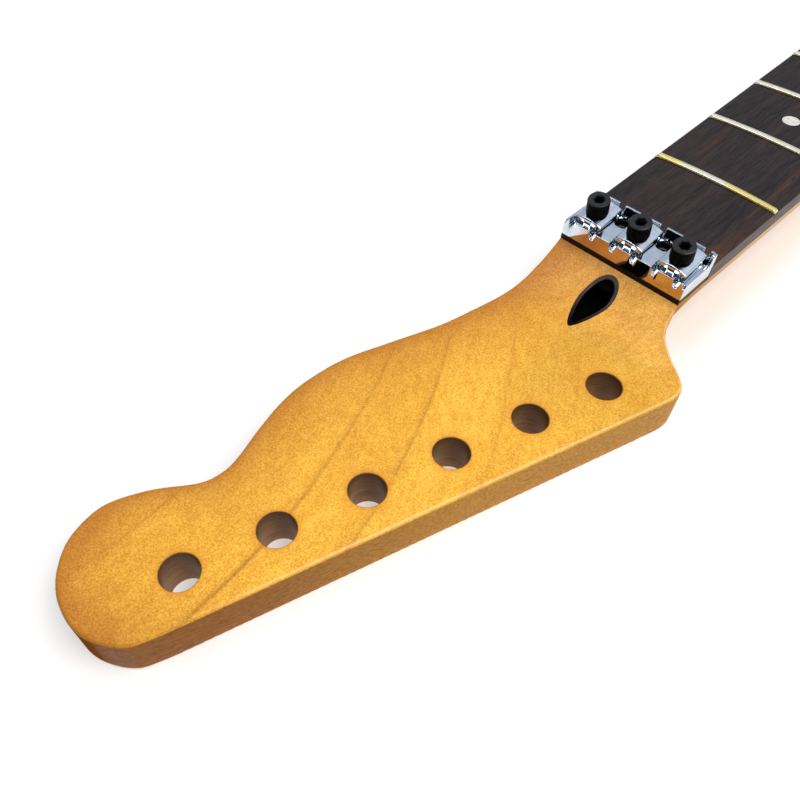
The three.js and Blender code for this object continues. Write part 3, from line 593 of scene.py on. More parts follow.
def maple_finish():
    """Amber satin lacquer on maple: golden face, growth lines that lean across the headstock, fine sparkle,
    a deeper orange where the lacquer is thick, paler and pinker by the nut, browner sides and dark drilled
    walls. Painted shade darkens the drilled walls near the face, the tuner holes' rims, the headstock's
    lower rolled edges and the shoulder side of the face, and a painted highlight runs along the straight
    edge."""
    material, tree, shader, place = new_material("amber_maple")
    wood = attribute(tree, "grain", "Vector")
    grain = shared(WOOD_GRAIN, wood, Bands=58.8, Fibres=1500, Bend=0.008)
    face = colours(grain["Tone"], [
        (0.30, (0.80, 0.37, 0.016)), (0.50, (0.90, 0.46, 0.026)), (0.70, (0.95, 0.51, 0.034)),
    ])
    stops = [(0, (0, 0, 0))]
    for line, dark in ((-69, 0.8), (-41, 1), (-22.5, 0.75), (0.3, 0.32), (8, 0.2)):
        for shift, share in ((-2.6, 0), (-0.7, 0.25), (-0.05, 1), (0.3, 0.9), (0.7, 0)):
            stops.append(((line + shift + 80) / 120, (share * dark,) * 3))
    lines = colours(levels(grain["Across"], -0.08, 0.04), stops)
    fade = levels(noise(stretched(wood, (1, 0.25, 1)), 90, 3), 0.35, 0.6, 0.5, 0.9)
    face = mixed(times(lines, fade), face, (0.38, 0.14, 0.010))
    face = mixed(levels(grain["Fibre"], 0.35, 0.7, 0.16, 0.0), face, (0.55, 0.22, 0.01))
    cloud = levels(noise(place, 45, 3), 0.35, 0.65, -0.06, 0.12)
    deep = sums("ADD", attribute(tree, "lacquer"), cloud)
    face = mixed(deep, face, (0.53, 0.205, 0.012))
    grit = noise(place, 1900, 3, 0.85)
    blotch = noise(stretched(wood, (1, 0.6, 1)), 420, 2, 0.6)
    speckle = sums("ADD", times(grit, 0.82), times(blotch, 0.18))
    sparkle = mixed(levels(speckle, 0.40, 0.62), (0.80, 0.66, 0.4), (1.18, 1.34, 2.6))
    lit = mixed(1.0, face, sparkle, "MULTIPLY")
    # Paler and pinker near the nut and down the ramp.
    lit = mixed(attribute(tree, "blush"), lit, (0.99, 1, 2.0), "MULTIPLY")
    # Painted shade: the shoulder side of the face a little darker.
    lit = mixed(attribute(tree, "horn"), lit, (0.87, 0.89, 0.95), "MULTIPLY")
    side = colours(grain["Fibre"], [
        (0.3, (0.36, 0.145, 0.014)), (0.5, (0.53, 0.240, 0.028)), (0.7, (0.64, 0.32, 0.045)),
    ])
    on_shaft = times(attribute(tree, "shaft"), 0.8)
    side = mixed(on_shaft, side, (0.66, 0.44, 0.25))
    rim = attribute(tree, "rim")
    wall = levels(attribute(tree, "wall"), 0.55, 0.95)
    pooled = mixed(times(rim, 0.6), lit, (0.44, 0.15, 0.010))
    dark_tip = mixed(attribute(tree, "tip"), (1, 1, 1), (0.57, 0.44, 0.50))
    body = mixed(wall, pooled, mixed(1.0, side, dark_tip, "MULTIPLY"))
    # Painted shade: a deeper orange on the tuner holes' rims.
    body = mixed(times(attribute(tree, "halo"), 0.55), body, (0.60, 0.20, 0.008))
    # Painted highlight: a pale line along the rolled straight edge and shoulder.
    body = mixed(times(attribute(tree, "glint"), 0.33), body, (1.0, 0.78, 0.40))
    # Painted shade: a dark line on the steep part of the headstock's lower rolled edges.
    steep = levels(attribute(tree, "wall"), 0.15, 0.5, 0.0, 0.6)
    body = mixed(times(attribute(tree, "keel"), steep), body, (0.10, 0.045, 0.015))
    rings = noise(stretched(place, (120, 120, 5200)), 1)
    drilled = mixed(levels(rings, 0.35, 0.65), (0.24, 0.115, 0.04), (0.48, 0.25, 0.09))
    # Painted shade: the drilled walls darker towards the face.
    sunk = levels(coordinate(place, 2), 0.005, 0.0138)
    drilled = mixed(sunk, drilled, (0.12, 0.052, 0.018))
    fed(
        shader, Base_Color=mixed(attribute(tree, "bore"), body, drilled),
        Roughness=levels(grit, 0.3, 0.7, 0.34, 0.46),
        Specular_IOR_Level=sums("SUBTRACT", levels(wall, 0, 1, 0.3, 0.09), times(rim, 0.1)),
    )
    height = sums("ADD", times(grain["Fibre"], 0.6), times(grit, 0.4))
    bumped(shader, height, 0.00003)
    return material


def paint(made, material):
    """Gives an object one material."""
    made.data.materials.clear()
    made.data.materials.append(material)


def dress(made, material, body, cad_node):
    """Paints a piece, says which body it rides on, and hides the CAD node that it stands for."""
    paint(made, material)
    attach(made, body)
    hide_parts(cad_node)


MAPLE = maple_finish()
dress(neck, MAPLE, "neck", "neck_blank")

# Fingerboard: rosewood, sanded to a 305 mm radius, sawn for the frets and glued on the neck. A thin
# shelf of the same board carries the nut, and the top edges are eased.
BOARD_END, BOARD_RADIUS, SHELF_TOP, SLOT_HALF, SLOT_DEPTH = 474, 305, -3.53, 0.35, 2
FRET_Y = SCALE_LENGTH * (1 - 2 ** (-np.arange(1, 23) / 12))


def crown(x):
    """Height of the board's arc: the sag below a circle of 305 mm, zero at the nut's edge of the board."""
    rise = BOARD_RADIUS - math.sqrt(BOARD_RADIUS**2 - (BOARD_NUT_WIDTH / 2) ** 2)
    return rise + np.sqrt(BOARD_RADIUS**2 - np.asarray(x, float) ** 2) - BOARD_RADIUS


def board_rings():
    """Sections of the board across y: the shelf, then the crowned top with a sawn slot at every fret."""
    rings = []
    edge = 0.35
    across = np.concatenate([[-1, -1], np.linspace(-1, 1, 41), [1, 1]])
    drop = np.concatenate([[edge, 0.29 * edge], np.zeros(41), [0.29 * edge, edge]])
    draw = np.concatenate([[0, 0.29 * edge], np.full(41, edge), [0.29 * edge, 0]])

    def ring(y, top=None):
        half = blade_half(min(y, BOARD_END)) - rolled(HEEL_CORNER, BOARD_END - y)
        if top == SHELF_TOP:
            half = NUT_WIDTH / 2
        x = across * (half - draw)
        z = (crown(x) if top is None else np.full(len(x), top)) - (drop if top is None else 0)
        x = np.concatenate([x, [half, -half]])
        z = np.concatenate([z, [GLUE_PLANE, GLUE_PLANE]])
        rings.append(np.column_stack([x, np.full(len(x), y), z]))

    ring(-NUT_LENGTH, SHELF_TOP)
    ring(0, SHELF_TOP)
    ring(0)
    last = 0.0
    for y in FRET_Y:
        ring((last + y) / 2)
        floor = float(crown(blade_half(y))) - SLOT_DEPTH
        for side, top in ((-1, None), (-1, floor), (1, floor), (1, None)):
            ring(y + side * SLOT_HALF, top)
        last = y
    for y in BOARD_END - HEEL_CORNER * (1 - np.cos(np.linspace(np.pi / 2, 0, 7))):
        ring(y)
    return np.array(rings)


def welded(points, faces):
    """The same surface with coinciding points joined, and without the faces that lose their area."""
    kept, place = np.unique(np.round(points, 4), axis=0, return_inverse=True)
    place = place.ravel()
    joined = [list(dict.fromkeys(int(place[i]) for i in face)) for face in faces]
    return kept, [face for face in joined if len(face) > 2]


def rosewood_finish():
    """Oiled rosewood: near black brown with reddish streaks along the grain and open pores, greyer on
    its sides, and painted near black as shade on the front face of the shelf under the nut."""
    material, tree, shader, place = new_material("rosewood")
    grain = shared(WOOD_GRAIN, place, Bands=420, Fibres=2300, Bend=0.004)
    tone = colours(grain["Tone"], [
        (0.30, (0.009, 0.006, 0.007)), (0.48, (0.017, 0.012, 0.012)),
        (0.58, (0.027, 0.015, 0.013)), (0.72, (0.040, 0.022, 0.017)),
    ])
    veins = noise(stretched(place, (1, 0.05, 1)), 170, 3, 0.6)
    patch = levels(noise(place, 28, 2), 0.42, 0.62)
    streak = times(levels(veins, 0.56, 0.70), patch)
    tone = mixed(streak, tone, (0.105, 0.034, 0.016))
    tone = mixed(levels(grain["Fibre"], 0.45, 0.62, 0, 0.5), tone, (0.036, 0.026, 0.026))
    tone = mixed(attribute(tree, "flank"), tone, (0.11, 0.09, 0.085))
    tone = mixed(times(grain["Pores"], 0.85), tone, (0.004, 0.003, 0.003))
    # The shelf's front face under the nut is painted near black as shade.
    fed(
        shader, Base_Color=mixed(attribute(tree, "shelf"), tone, (0.005, 0.0035, 0.003)),
        Roughness=levels(grain["Fibre"], 0.35, 0.65, 0.62, 0.45), Specular_IOR_Level=0.2,
    )
    bumped(shader, sums("SUBTRACT", grain["Fibre"], grain["Pores"]), 0.00006)
    return material


board = shell("rosewood_board", *welded(*tube(board_rings())), 30)
x, y, z = points_of(board).T
# The shelf's front face is painted near black as shade; the board's sides from the nut on are greyer.
mark(board, shelf=y < -NUT_LENGTH + 0.1, flank=(y > -0.1) & (np.abs(x) > blade_half(y) - 0.05))
dress(board, rosewood_finish(), "neck", "fingerboard")


# Frets: drawn nickel-brass wire, domed on top, pressed into the slots and filed back at a slope at
# both ends. 22 of them, each at scale length times 1 - 2^(-n/12).
FRET_HALF, FRET_HEIGHT, FRET_SLOPE, TANG_HALF, TANG_DEPTH = 1.2, 1.1, 0.9, 0.25, 1.7


def fret_wire(y):
    """A fret as a grid of x against its section: a dome of 2.4 by 1.1 mm carried along the board's arc,
    its ends rounded down over 0.9 mm, and a tang of 0.5 mm below it."""
    half = float(blade_half(y)) - 0.08
    share = np.concatenate([
        np.linspace(0, FRET_SLOPE, 7), np.linspace(FRET_SLOPE, half * 2 - FRET_SLOPE, 40)[1:-1],
        half * 2 - np.linspace(FRET_SLOPE, 0, 7),
    ]) - half
    end = np.clip((half - np.abs(share)) / FRET_SLOPE, 0, 1)
    height = FRET_HEIGHT * (0.12 + 0.88 * np.sin(end * np.pi / 2) ** 0.8)
    turn = np.linspace(0, np.pi, 15)
    over_y = FRET_HALF * np.sign(np.cos(turn)) * np.abs(np.cos(turn)) ** 0.65
    over_z = np.sin(turn) ** 0.8
    x, base = share[:, None], (crown(share) + 0.05)[:, None]
    floor = float(crown(half)) - TANG_DEPTH
    dome_y = y + over_y[None] + 0 * x
    dome_z = base + height[:, None] * over_z[None]
    tang_y = y + np.array([[-TANG_HALF, -TANG_HALF, TANG_HALF, TANG_HALF]]) + 0 * x
    tang_z = np.hstack([base, floor + 0 * base, floor + 0 * base, base])
    ys, zs = np.hstack([dome_y, tang_y]), np.hstack([dome_z, tang_z])
    return np.stack([x + 0 * ys, ys, zs], 2)


def metal_marks_group():
    """Handled metal: soft smudges and very fine scratches, as two masks."""
    tree, given, out = group(
        "metal_marks",
        [("Vector", "NodeSocketVector", None), ("Size", "NodeSocketFloat", 300.0)],
        [("Smudge", "NodeSocketFloat"), ("Scratch", "NodeSocketFloat")],
    )
    vector = given.outputs["Vector"]
    smudge = noise(vector, given.outputs["Size"], 4, 0.6)
    hair = noise(stretched(vector, (1, 0.08, 1), (0, 0, 0.6)), 6000, 1)
    fed(out, Smudge=levels(smudge, 0.35, 0.7), Scratch=levels(hair, 0.62, 0.75))
    return tree


METAL_MARKS = metal_marks_group()


def metal_finish(name, dull, bright, roughness, size, metallic, relief=None):
    """Metal whose colour and gloss vary with its smudges and scratches. Returns it with its tree, its
    shader and its colour."""
    material, tree, shader, place = new_material(name)
    smudge, scratch = shared(METAL_MARKS, place, Size=size).values()
    colour = mixed(smudge, bright, dull)
    rough = sums("ADD", levels(smudge, 0, 1, *roughness), times(scratch, 0.08))
    fed(shader, Base_Color=colour, Roughness=rough, Metallic=metallic)
    if relief:
        bumped(shader, noise(place, 5000), relief)
    return material, tree, shader, colour


FRET_METAL, tree, shader, colour = metal_finish(
    "fret_metal", (0.90, 0.80, 0.55), (1.0, 0.94, 0.76), (0.12, 0.24), 500, 0.8,
)
# Painted reflection: fret 1's ends tinted amber as if mirroring the headstock.
colour = mixed(attribute(tree, "gold"), colour, (1.0, 0.80, 0.23))
# Painted shadow: the foot of each fret's dome dark where it meets the board.
fed(shader, Base_Color=mixed(attribute(tree, "foot"), colour, (0.012, 0.008, 0.006)))
for number, y in enumerate(FRET_Y, 1):
    wire_points, wire_faces = tube(fret_wire(y))
    fret = shell(f"fret_wire_{number:02d}", wire_points, wire_faces, 40)
    across, up = wire_points[:, 0], wire_points[:, 2]
    # The middle of fret 1 is left without the painted amber reflection.
    plain = smooth((across + 14) / 4) * smooth((6 - across) / 4)
    # The lowest third of a millimetre of each dome is painted dark as shadow.
    foot = np.clip(1.15 - (up - crown(across)) / 0.3, 0, 1)
    mark(fret, foot=foot, gold=(1 - plain) * 0.85 * (number == 1))
    dress(fret, FRET_METAL, "neck", f"fret_{number:02d}")

# Markers: ten round face dots glued flush in the board, and ten small ones in its bass edge.
DOT_RADIUS, SIDE_DOT_DROP = 3.1, 2.8
MIDDLES = {n: (FRET_Y[n - 1] + FRET_Y[n - 2]) / 2 for n in (3, 5, 7, 9, 12, 15, 17, 19, 21)}


def pearl_finish():
    """Warm off-white plastic pearl with a faint cloud in it."""
    material, tree, shader, place = new_material("marker_pearl")
    cloud = noise(place, 420, 3, 0.55, 1.2)
    pearl = colours(cloud, [
        (0.35, (0.58, 0.53, 0.47)), (0.5, (0.66, 0.62, 0.56)), (0.65, (0.72, 0.69, 0.63)),
    ])
    fed(shader, Base_Color=pearl, Roughness=levels(cloud, 0.35, 0.65, 0.22, 0.34))
    return material


def face_dot(x, y):
    """A disc 6.2 mm across whose top follows the board's arc, two hundredths of a millimetre proud."""
    profile = [(0.01, -1.8), (DOT_RADIUS, -1.8), (DOT_RADIUS, -0.06), (DOT_RADIUS - 0.05, 0.02)]
    profile += [(r, 0.02) for r in (2.6, 2.0, 1.3, 0.6, 0.01)]
    points, faces = turned(profile, 72)
    points = points + (x, y, 0)
    points[:, 2] += crown(points[:, 0])
    return points, faces


def side_dot(y):
    """A 2 mm pin pressed in from the bass edge, its end rounded a little."""
    profile = [(0.01, 0), (1, 0), (1, 2.55), (0.9, 2.62), (0.5, 2.63), (0.01, 2.63)]
    points, faces = turned(profile, 40)
    points = points[:, [2, 0, 1]]
    return points + (float(blade_half(y)) - 2.6, y, -SIDE_DOT_DROP), faces


PEARL = pearl_finish()
for n, y in MIDDLES.items():
    for x, label in [(0, str(n))] if n != 12 else [(-12.5, "12_treble"), (12.5, "12_bass")]:
        dress(shell(f"marker_{label}", *face_dot(x, y)), PEARL, "neck", f"face_dot_{label}")
    for at, label in [(y, str(n))] if n != 12 else [(y - 3.5, "12_upper"), (y + 3.5, "12_lower")]:
        dress(shell(f"edge_marker_{label}", *side_dot(at)), PEARL, "neck", f"side_dot_{label}")

# Clamping nut's base: cast and chromed, its floor sloping down to the headstock. Behind the pads stands
# a row of teeth, in front a straight lip cut by six string notches, and two screws hold it down.
NUT_REAR, CLAMP_Y, CLAMP_FLOOR, CLAMP_TILT, MOUNT_RADIUS = -0.05, -8.3, 0.9, math.radians(9.2), 2.3
NUT_LAND, END_WALL, TOOTH_TOP, TOOTH_DEPTH = 2.15, 1.45, 5, 0.95
STRING_X = (np.arange(6) - 2.5) * STRING_PITCH
CLAMP_X = (np.arange(3) - 1) * 2 * STRING_PITCH


def nut_floor(y):
    """The base's floor: 0.9 mm up at the clamp screws and sloping 9.2 degrees."""
    return CLAMP_FLOOR + (y - CLAMP_Y) * math.tan(CLAMP_TILT)


def string_notch(off, y):
    """A string's notch in the front land: a floor 1.1 mm wide that slopes down to the front edge, with
    walls that flare above it."""
    floor = -0.55 + 0.22 * (y + NUT_LENGTH)
    return floor + 2.9 * smooth((off - 0.55) / 0.85) ** 0.7


def nut_height(x, y):
    """The base's top as a height over x and y, each feature laid over the floor in turn: front land, decks
    between the pads with the troughs and holes behind them, end walls, teeth, posts and string notches."""
    front, half, away = -NUT_LENGTH, NUT_WIDTH / 2, np.abs(x)
    z = np.where(y < front + 2.5, NUT_LAND + 0 * x, nut_floor(y))
    for gap in (-STRING_PITCH, STRING_PITCH):
        off = np.abs(x - gap)
        z = np.where((off < 2.5) & (y < NUT_REAR - 0.5), NUT_LAND + 0.02 * (y - front), z)
        z = np.where((off < 2.55) & (y > -2.45) & (y < -0.95), 0.2, z)
        z = np.where((off < 2.5) & (y > -2.85) & (y < -2.45), 3.2, z)
        z = np.where(np.hypot(x - gap, y - MOUNT_Y) < MOUNT_RADIUS, -1.28, z)
    groove = (away > half - 1.9) & (away < half - 0.95)
    z = np.where(groove & (y > front + 0.9), nut_floor(y) - 0.8, z)
    z = np.where(away > half - 0.95, END_WALL, z)
    z = np.where((away > half - 0.75) & (away < half - 0.35) & (y < front + 0.7), 0.5, z)
    rear_step = END_WALL + 3.35 * smooth((y + 2.6) / 0.8)
    z = np.where((away > half - 0.95) & (y > -2.6), rear_step - rolled(0.9, half - away), z)
    z = np.where(groove & (y > -2.2), 0.2, z)
    tooth = TOOTH_TOP - rolled(0.3, NUT_REAR - y) - rolled(0.25, y - NUT_REAR + TOOTH_DEPTH)
    z = np.where((y > NUT_REAR - TOOTH_DEPTH) & (away < half - 0.95), tooth, z)
    for string in STRING_X:
        off = np.abs(x - string)
        z = np.where((off < 1.7) & (y < front + 3.4), np.minimum(z, string_notch(off, y)), z)
        z = np.where((off < 0.9) & (y > NUT_REAR - 1.45), np.minimum(z, 2.3), z)
    return z


def softened(z):
    """The height with its steps rounded: each point takes a quarter, a half and a quarter of its row and
    then of its column."""
    z = np.pad(z, 1, mode="edge")
    z = z[:, :-2] / 4 + z[:, 1:-1] / 2 + z[:, 2:] / 4
    return z[:-2] / 4 + z[1:-1] / 2 + z[2:] / 4


def closed_height(x, y, z, bottom):
    """A height over a grid, walled down to a flat bottom all round."""
    rows, columns = z.shape
    top = np.stack([x, y, z], 2).reshape(-1, 3)
    index = np.arange(rows * columns).reshape(rows, columns)
    quads = np.stack([index[:-1, :-1], index[1:, :-1], index[1:, 1:], index[:-1, 1:]], -1).reshape(-1, 4)
    rim = np.concatenate([index[0, :-1], index[:-1, -1], index[-1, :0:-1], index[:0:-1, 0]])
    low = top[rim] * (1, 1, 0) + (0, 0, bottom)
    base, k = rows * columns, np.arange(len(rim))
    n = (k + 1) % len(rim)
    walls = np.stack([rim[k], rim[n], base + n, base + k], -1)
    faces = quads.tolist() + walls.tolist() + [(base + k).tolist()]
    return np.vstack([top, low]), faces


def stepped(low, high, rim, inner, count):
    """Places from low to high: close ones at both ends, and even ones from a distance inner in."""
    return np.concatenate([low + rim, np.linspace(low + inner, high - inner, count), high - rim[::-1]])


def nut_base():
    """The base as a height on a grid of 0.12 mm, its outer top edges rolled by 0.2 mm."""
    half = NUT_WIDTH / 2
    rim = np.array([0, 0.005, 0.02, 0.05, 0.09, 0.14, 0.2])
    xs, ys = stepped(-half, half, rim, 0.45, 350), stepped(-NUT_LENGTH, NUT_REAR, rim, 0.45, 122)
    x, y = np.meshgrid(xs, ys, indexing="ij")
    z = softened(nut_height(np.clip(x, -half + 0.36, half - 0.36), y))
    border = np.minimum(half - np.abs(x), np.minimum(NUT_REAR - y, y + NUT_LENGTH))
    return closed_height(x, y, z - rolled(0.2, border), SHELF_TOP)


def chrome_finish():
    """Bright chrome with soft smudges, painted black and dull as shade deep in its hollows."""
    material, tree, shader, place = new_material("chrome")
    smudge = shared(METAL_MARKS, place, Size=260)["Smudge"]
    plated = mixed(smudge, (0.70, 0.74, 0.80), (0.54, 0.60, 0.68))
    # Painted shade and reflection: the front face darker and tinted amber like the headstock before it.
    plated = mixed(attribute(tree, "front"), plated, (0.60, 0.45, 0.38))
    # Painted shade: black and dull below a height kept for each point.
    under = sums("SUBTRACT", attribute(tree, "recess"), coordinate(place, 2))
    recess = levels(under, -0.00002, 0.00006)
    rough = levels(smudge, 0, 1, 0.04, 0.09)
    fed(
        shader, Base_Color=mixed(recess, plated, (0.004, 0.004, 0.005)),
        Roughness=sums("ADD", rough, times(recess, 0.35)),
        Metallic=levels(recess, 0, 1, 1, 0), Specular_IOR_Level=levels(recess, 0, 1, 0.5, 0.05),
    )
    return material


CHROME = chrome_finish()
casting = shell("nut_base_casting", *nut_base(), 60)
x, y, z = points_of(casting).T
off_gap, away = np.abs(np.abs(x) - STRING_PITCH), np.abs(x)
in_gap = off_gap < 2.6
in_hole = np.hypot(off_gap, y - MOUNT_Y) < MOUNT_RADIUS + 0.14
in_corner = (away > 19.4) & (away < 20.6) & (y > -2.4) & (y < -0.9)
# Heights below which the base is painted black as shade: the troughs and ribs behind the decks, the corners
# by the end walls and the mount screws' holes.
painted_shade_below = np.where(in_gap & (y > -2.35) & (y < -0.85), 4.7, -30)
painted_shade_below = np.where(in_gap & (y > -2.6) & (y < -2.35), 3.0, painted_shade_below)
painted_shade_below = np.where(in_corner, 2.2, np.where(in_hole, 1.95, painted_shade_below))
# The base's front face under the lip: painted darker and amber as shade and reflection, fading out at the
# treble end.
front = (y < -NUT_LENGTH + 0.06) & (z < 2) & (away < NUT_WIDTH / 2 - 0.3)
mark(casting, recess=(painted_shade_below - BACK_Z) / 1000, front=front * smooth((x + 17) / 5))
dress(casting, CHROME, "neck", "nut_base")

# Clamp pads: three chromed blocks, crowned on top, that press the strings down two by two. Each hangs
# on its screw and lifts along it as the screw backs out.
PAD_HALF, PAD_FRONT, PAD_REAR, PAD_SIDE, PAD_CROWN = 4.8, 4.6, 6.2, 2.9, 1.0


def on_clamp(points, x):
    """Points about a clamp screw's axis, leaned 9.2 degrees and set on the base's floor."""
    c, s = math.cos(CLAMP_TILT), math.sin(CLAMP_TILT)
    lean = np.array([[1, 0, 0], [0, c, s], [0, -s, c]])
    return points @ lean + (x, CLAMP_Y, CLAMP_FLOOR)


def clamp_pad():
    """A pad as a height: its side height plus a crown of 1 - (x / half)^2, with rolled edges and a
    chamfer along the front one."""
    rim = 0.4 * (1 - np.cos(np.linspace(0, np.pi / 2, 8)))
    xs = stepped(-PAD_HALF, PAD_HALF, rim, 0.55, 50)
    ys = stepped(-PAD_FRONT, PAD_REAR, rim, 0.5, 50)
    x, y = np.meshgrid(xs, ys, indexing="ij")
    border = np.minimum(PAD_HALF - np.abs(x), np.minimum(PAD_REAR - y, y + PAD_FRONT))
    z = PAD_SIDE + PAD_CROWN * (1 - (x / PAD_HALF) ** 2) - rolled(0.4, border)
    z = np.minimum(z, PAD_SIDE + PAD_CROWN - 0.45 + (y + PAD_FRONT))
    return closed_height(x, y, z, 0.05)


pad_points, pad_faces = clamp_pad()
for number, x in enumerate(CLAMP_X, 1):
    pad = shell(f"pad_{number}", on_clamp(pad_points, x), pad_faces, 50)
    dress(pad, CHROME, f"pad_{number}", f"clamp_pad_{number}")

# Clamp screws: M4 socket-head screws in black oxide, turned with a 3 mm key. Two smaller ones, sunk in
# the base between the pads, hold it to the neck.
CLAMP_HEAD = 5


def socket_screw(head_radius, seat, height, shank_radius, shank_end, key, key_depth, bevel):
    """A screw as a turn about its axis against its section. The key's walls are a hexagon:
    r = flats / 2 / cos(a folded into 60 degrees)."""
    sides = 96
    a = np.linspace(0, 2 * np.pi, sides, endpoint=False)
    folded = (a + np.pi / 6) % (np.pi / 3) - np.pi / 6
    hexagon = key / 2 / np.cos(folded)
    top = seat + height
    return turned([
        (0.01, shank_end), (shank_radius * 0.8, shank_end), (shank_radius, shank_end + 0.5),
        (shank_radius, seat), (head_radius - 0.12, seat), (head_radius, seat + 0.12),
        (head_radius, top - bevel), (head_radius - bevel * 0.3, top - bevel * 0.3),
        (head_radius - bevel, top), (hexagon + 0.36, top), (hexagon + 0.06, top - 0.22),
        (hexagon, top - 0.4), (hexagon, top - key_depth), (hexagon * 0.01, top - key_depth - 0.3),
    ], sides)


# Black oxide: deep black, with the heads' tops painted a little lighter as the light falls on them, and
# glossier.
BLACK_OXIDE, tree, shader, colour = metal_finish(
    "black_oxide", (0.004, 0.004, 0.004), (0.002, 0.002, 0.002), (0.26, 0.38), 900, 0, 0.00001,
)
crest = attribute(tree, "crest")
fed(shader, Base_Color=mixed(crest, colour, (0.012, 0.012, 0.012)),
    Specular_IOR_Level=levels(crest, 0, 1, 0.02, 0.3))
clamp_seat = PAD_SIDE + PAD_CROWN + 0.05
screw_points, screw_faces = socket_screw(3.45, clamp_seat, CLAMP_HEAD, 2, -2.6, 3, 2.6, 0.45)
for number, x in enumerate(CLAMP_X, 1):
    screw = shell(f"socket_screw_{number}", on_clamp(screw_points, x), screw_faces, 30)
    # The head's top and bevel, painted lighter as lit.
    mark(screw, crest=screw_points[:, 2] > clamp_seat + CLAMP_HEAD - 0.44)
    dress(screw, BLACK_OXIDE, f"screw_{number}", f"clamp_screw_{number}")
mount_points, mount_faces = socket_screw(1.95, 0, 1.5, 1.2, -14, 2, 0.9, 0.25)
for number, x in enumerate((-STRING_PITCH, STRING_PITCH), 1):
    screw = shell(f"base_screw_{number}", mount_points + (x, MOUNT_Y, -1.2), mount_faces, 30)
    # The head's top and bevel, painted lighter as lit.
    mark(screw, crest=mount_points[:, 2] > 1.2)
    dress(screw, BLACK_OXIDE, "neck", f"nut_mount_screw_{number}")

# Sleeve of the truss rod's entry: a moulded black plastic cup pushed into the pocket behind the nut.
# Its floor slopes down to a round key way that leads to the rod's nut.
def sleeve_body():
    """The sleeve as a grid of its outline against its section: up outside, over a rim that follows the
    ramp, and down inside to the sloping floor."""
    steps = [(0, -9, 0), (0, None, 0.12), (0.04, None, 0.03), (0.15, None, 0), (0.85, None, 0),
             (0.96, None, 0.03), (1, None, 0.12), (1, None, 0.4), (1, -9, 0)]
    rows = []
    for inset, level, drop in steps:
        rim = sleeve_outline(inset)
        z = ramp_top(rim[:, 0], rim[:, 1]) - drop
        if level is not None:
            z = np.minimum(sleeve_floor(rim[:, 1], inset), z - 0.2)
        if drop == 0.4:
            z = np.maximum(z, np.minimum(sleeve_floor(rim[:, 1], inset), z + 0.2) + 0.02)
        rows.append(np.column_stack([rim, z]))
    floor = sleeve_outline(1)
    middle = np.array([[0, -26]])
    inner = floor * 0.35 + middle * 0.65
    rows.append(np.column_stack([inner, sleeve_floor(inner[:, 1], 1)]))
    return flipped(*tube(np.array(rows)))


def plastic_finish():
    """Moulded black plastic with a fine moulding texture and a few dull patches."""
    material, tree, shader, place = new_material("black_plastic")
    cloud = noise(place, 350, 3)
    skin = colours(cloud, [(0.4, (0.030, 0.018, 0.015)), (0.62, (0.050, 0.032, 0.027))])
    to_tip = levels(coordinate(place, 1), -0.450, -0.463)
    skin = mixed(to_tip, skin, (0.003, 0.0025, 0.003))
    # Painted shade: the cup's inside and its spout black and without gloss.
    deep = attribute(tree, "inside")
    fed(
        shader, Base_Color=mixed(deep, skin, (0.002, 0.002, 0.002)),
        Roughness=levels(cloud, 0.4, 0.6, 0.36, 0.5),
        Specular_IOR_Level=times(levels(deep, 0, 1, 0.4, 0), levels(to_tip, 0, 1, 1, 0.12)),
    )
    bumped(shader, noise(place, 3500), 0.00002)
    return material


SPOUT_OUTSIDE, SPOUT_INSIDE = 4.12, 3.92


def spout():
    """The sleeve's short round spout, which lines the bore as far as the rod's nut: a closed ring of
    rings, outside, end, inside and start, kept under the rim where it leaves the cup."""
    outer, inner, start, end = SPOUT_OUTSIDE, SPOUT_INSIDE, -20.8, -12.3
    points, faces = about_rod([(outer, start), (outer, end), (inner, end), (inner, start), (outer, start)])
    radius = np.hypot(points[:, 0], points[:, 2] - ROD_Z)
    mouth = ramp_top(points[:, 0], points[:, 1]) - 0.25 - (outer - radius)
    points[:, 2] = np.where(points[:, 1] < -20, np.minimum(points[:, 2], mouth), points[:, 2])
    return points, faces[:-2]


key_way = about_rod([(0.01, -20.4), (SPOUT_INSIDE, -20.4), (SPOUT_INSIDE, -14), (0.01, -14)])
cup = carved("rod_sleeve", shell("rod_sleeve", *sleeve_body(), 40), [key_way], 40)
cup_points = points_of(cup)
cup_faces = [list(polygon.vertices) for polygon in cup.data.polygons]
bpy.data.objects.remove(cup)
sleeve = shell("rod_sleeve", *gathered([(cup_points, cup_faces), spout()]), 40)
x, y, z = points_of(sleeve).T
in_spout = (y > -20.9) & (np.hypot(x, z - ROD_Z) < 4.2)
# The spout and the cup below its rim are painted black as shade.
mark(sleeve, inside=np.where(in_spout, 1, smooth((ramp_top(x, y) - z - 0.05) / 0.3)))
dress(sleeve, plastic_finish(), "neck", "truss_rod_sleeve")

# Truss rod: a threaded steel rod under a flat bar in the channel under the board, with an anchor block
# at the heel and a socket nut at the headstock. All of it is inside the wood.
ROD_STEEL = metal_finish(
    "rod_steel", (0.34, 0.34, 0.35), (0.50, 0.50, 0.51), (0.30, 0.45), 500, 1, 0.00002,
)[0]
for name in ("truss_rod", "truss_rod_flat_bar", "truss_rod_anchor", "truss_rod_nut"):
    paint(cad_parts[name], ROD_STEEL)

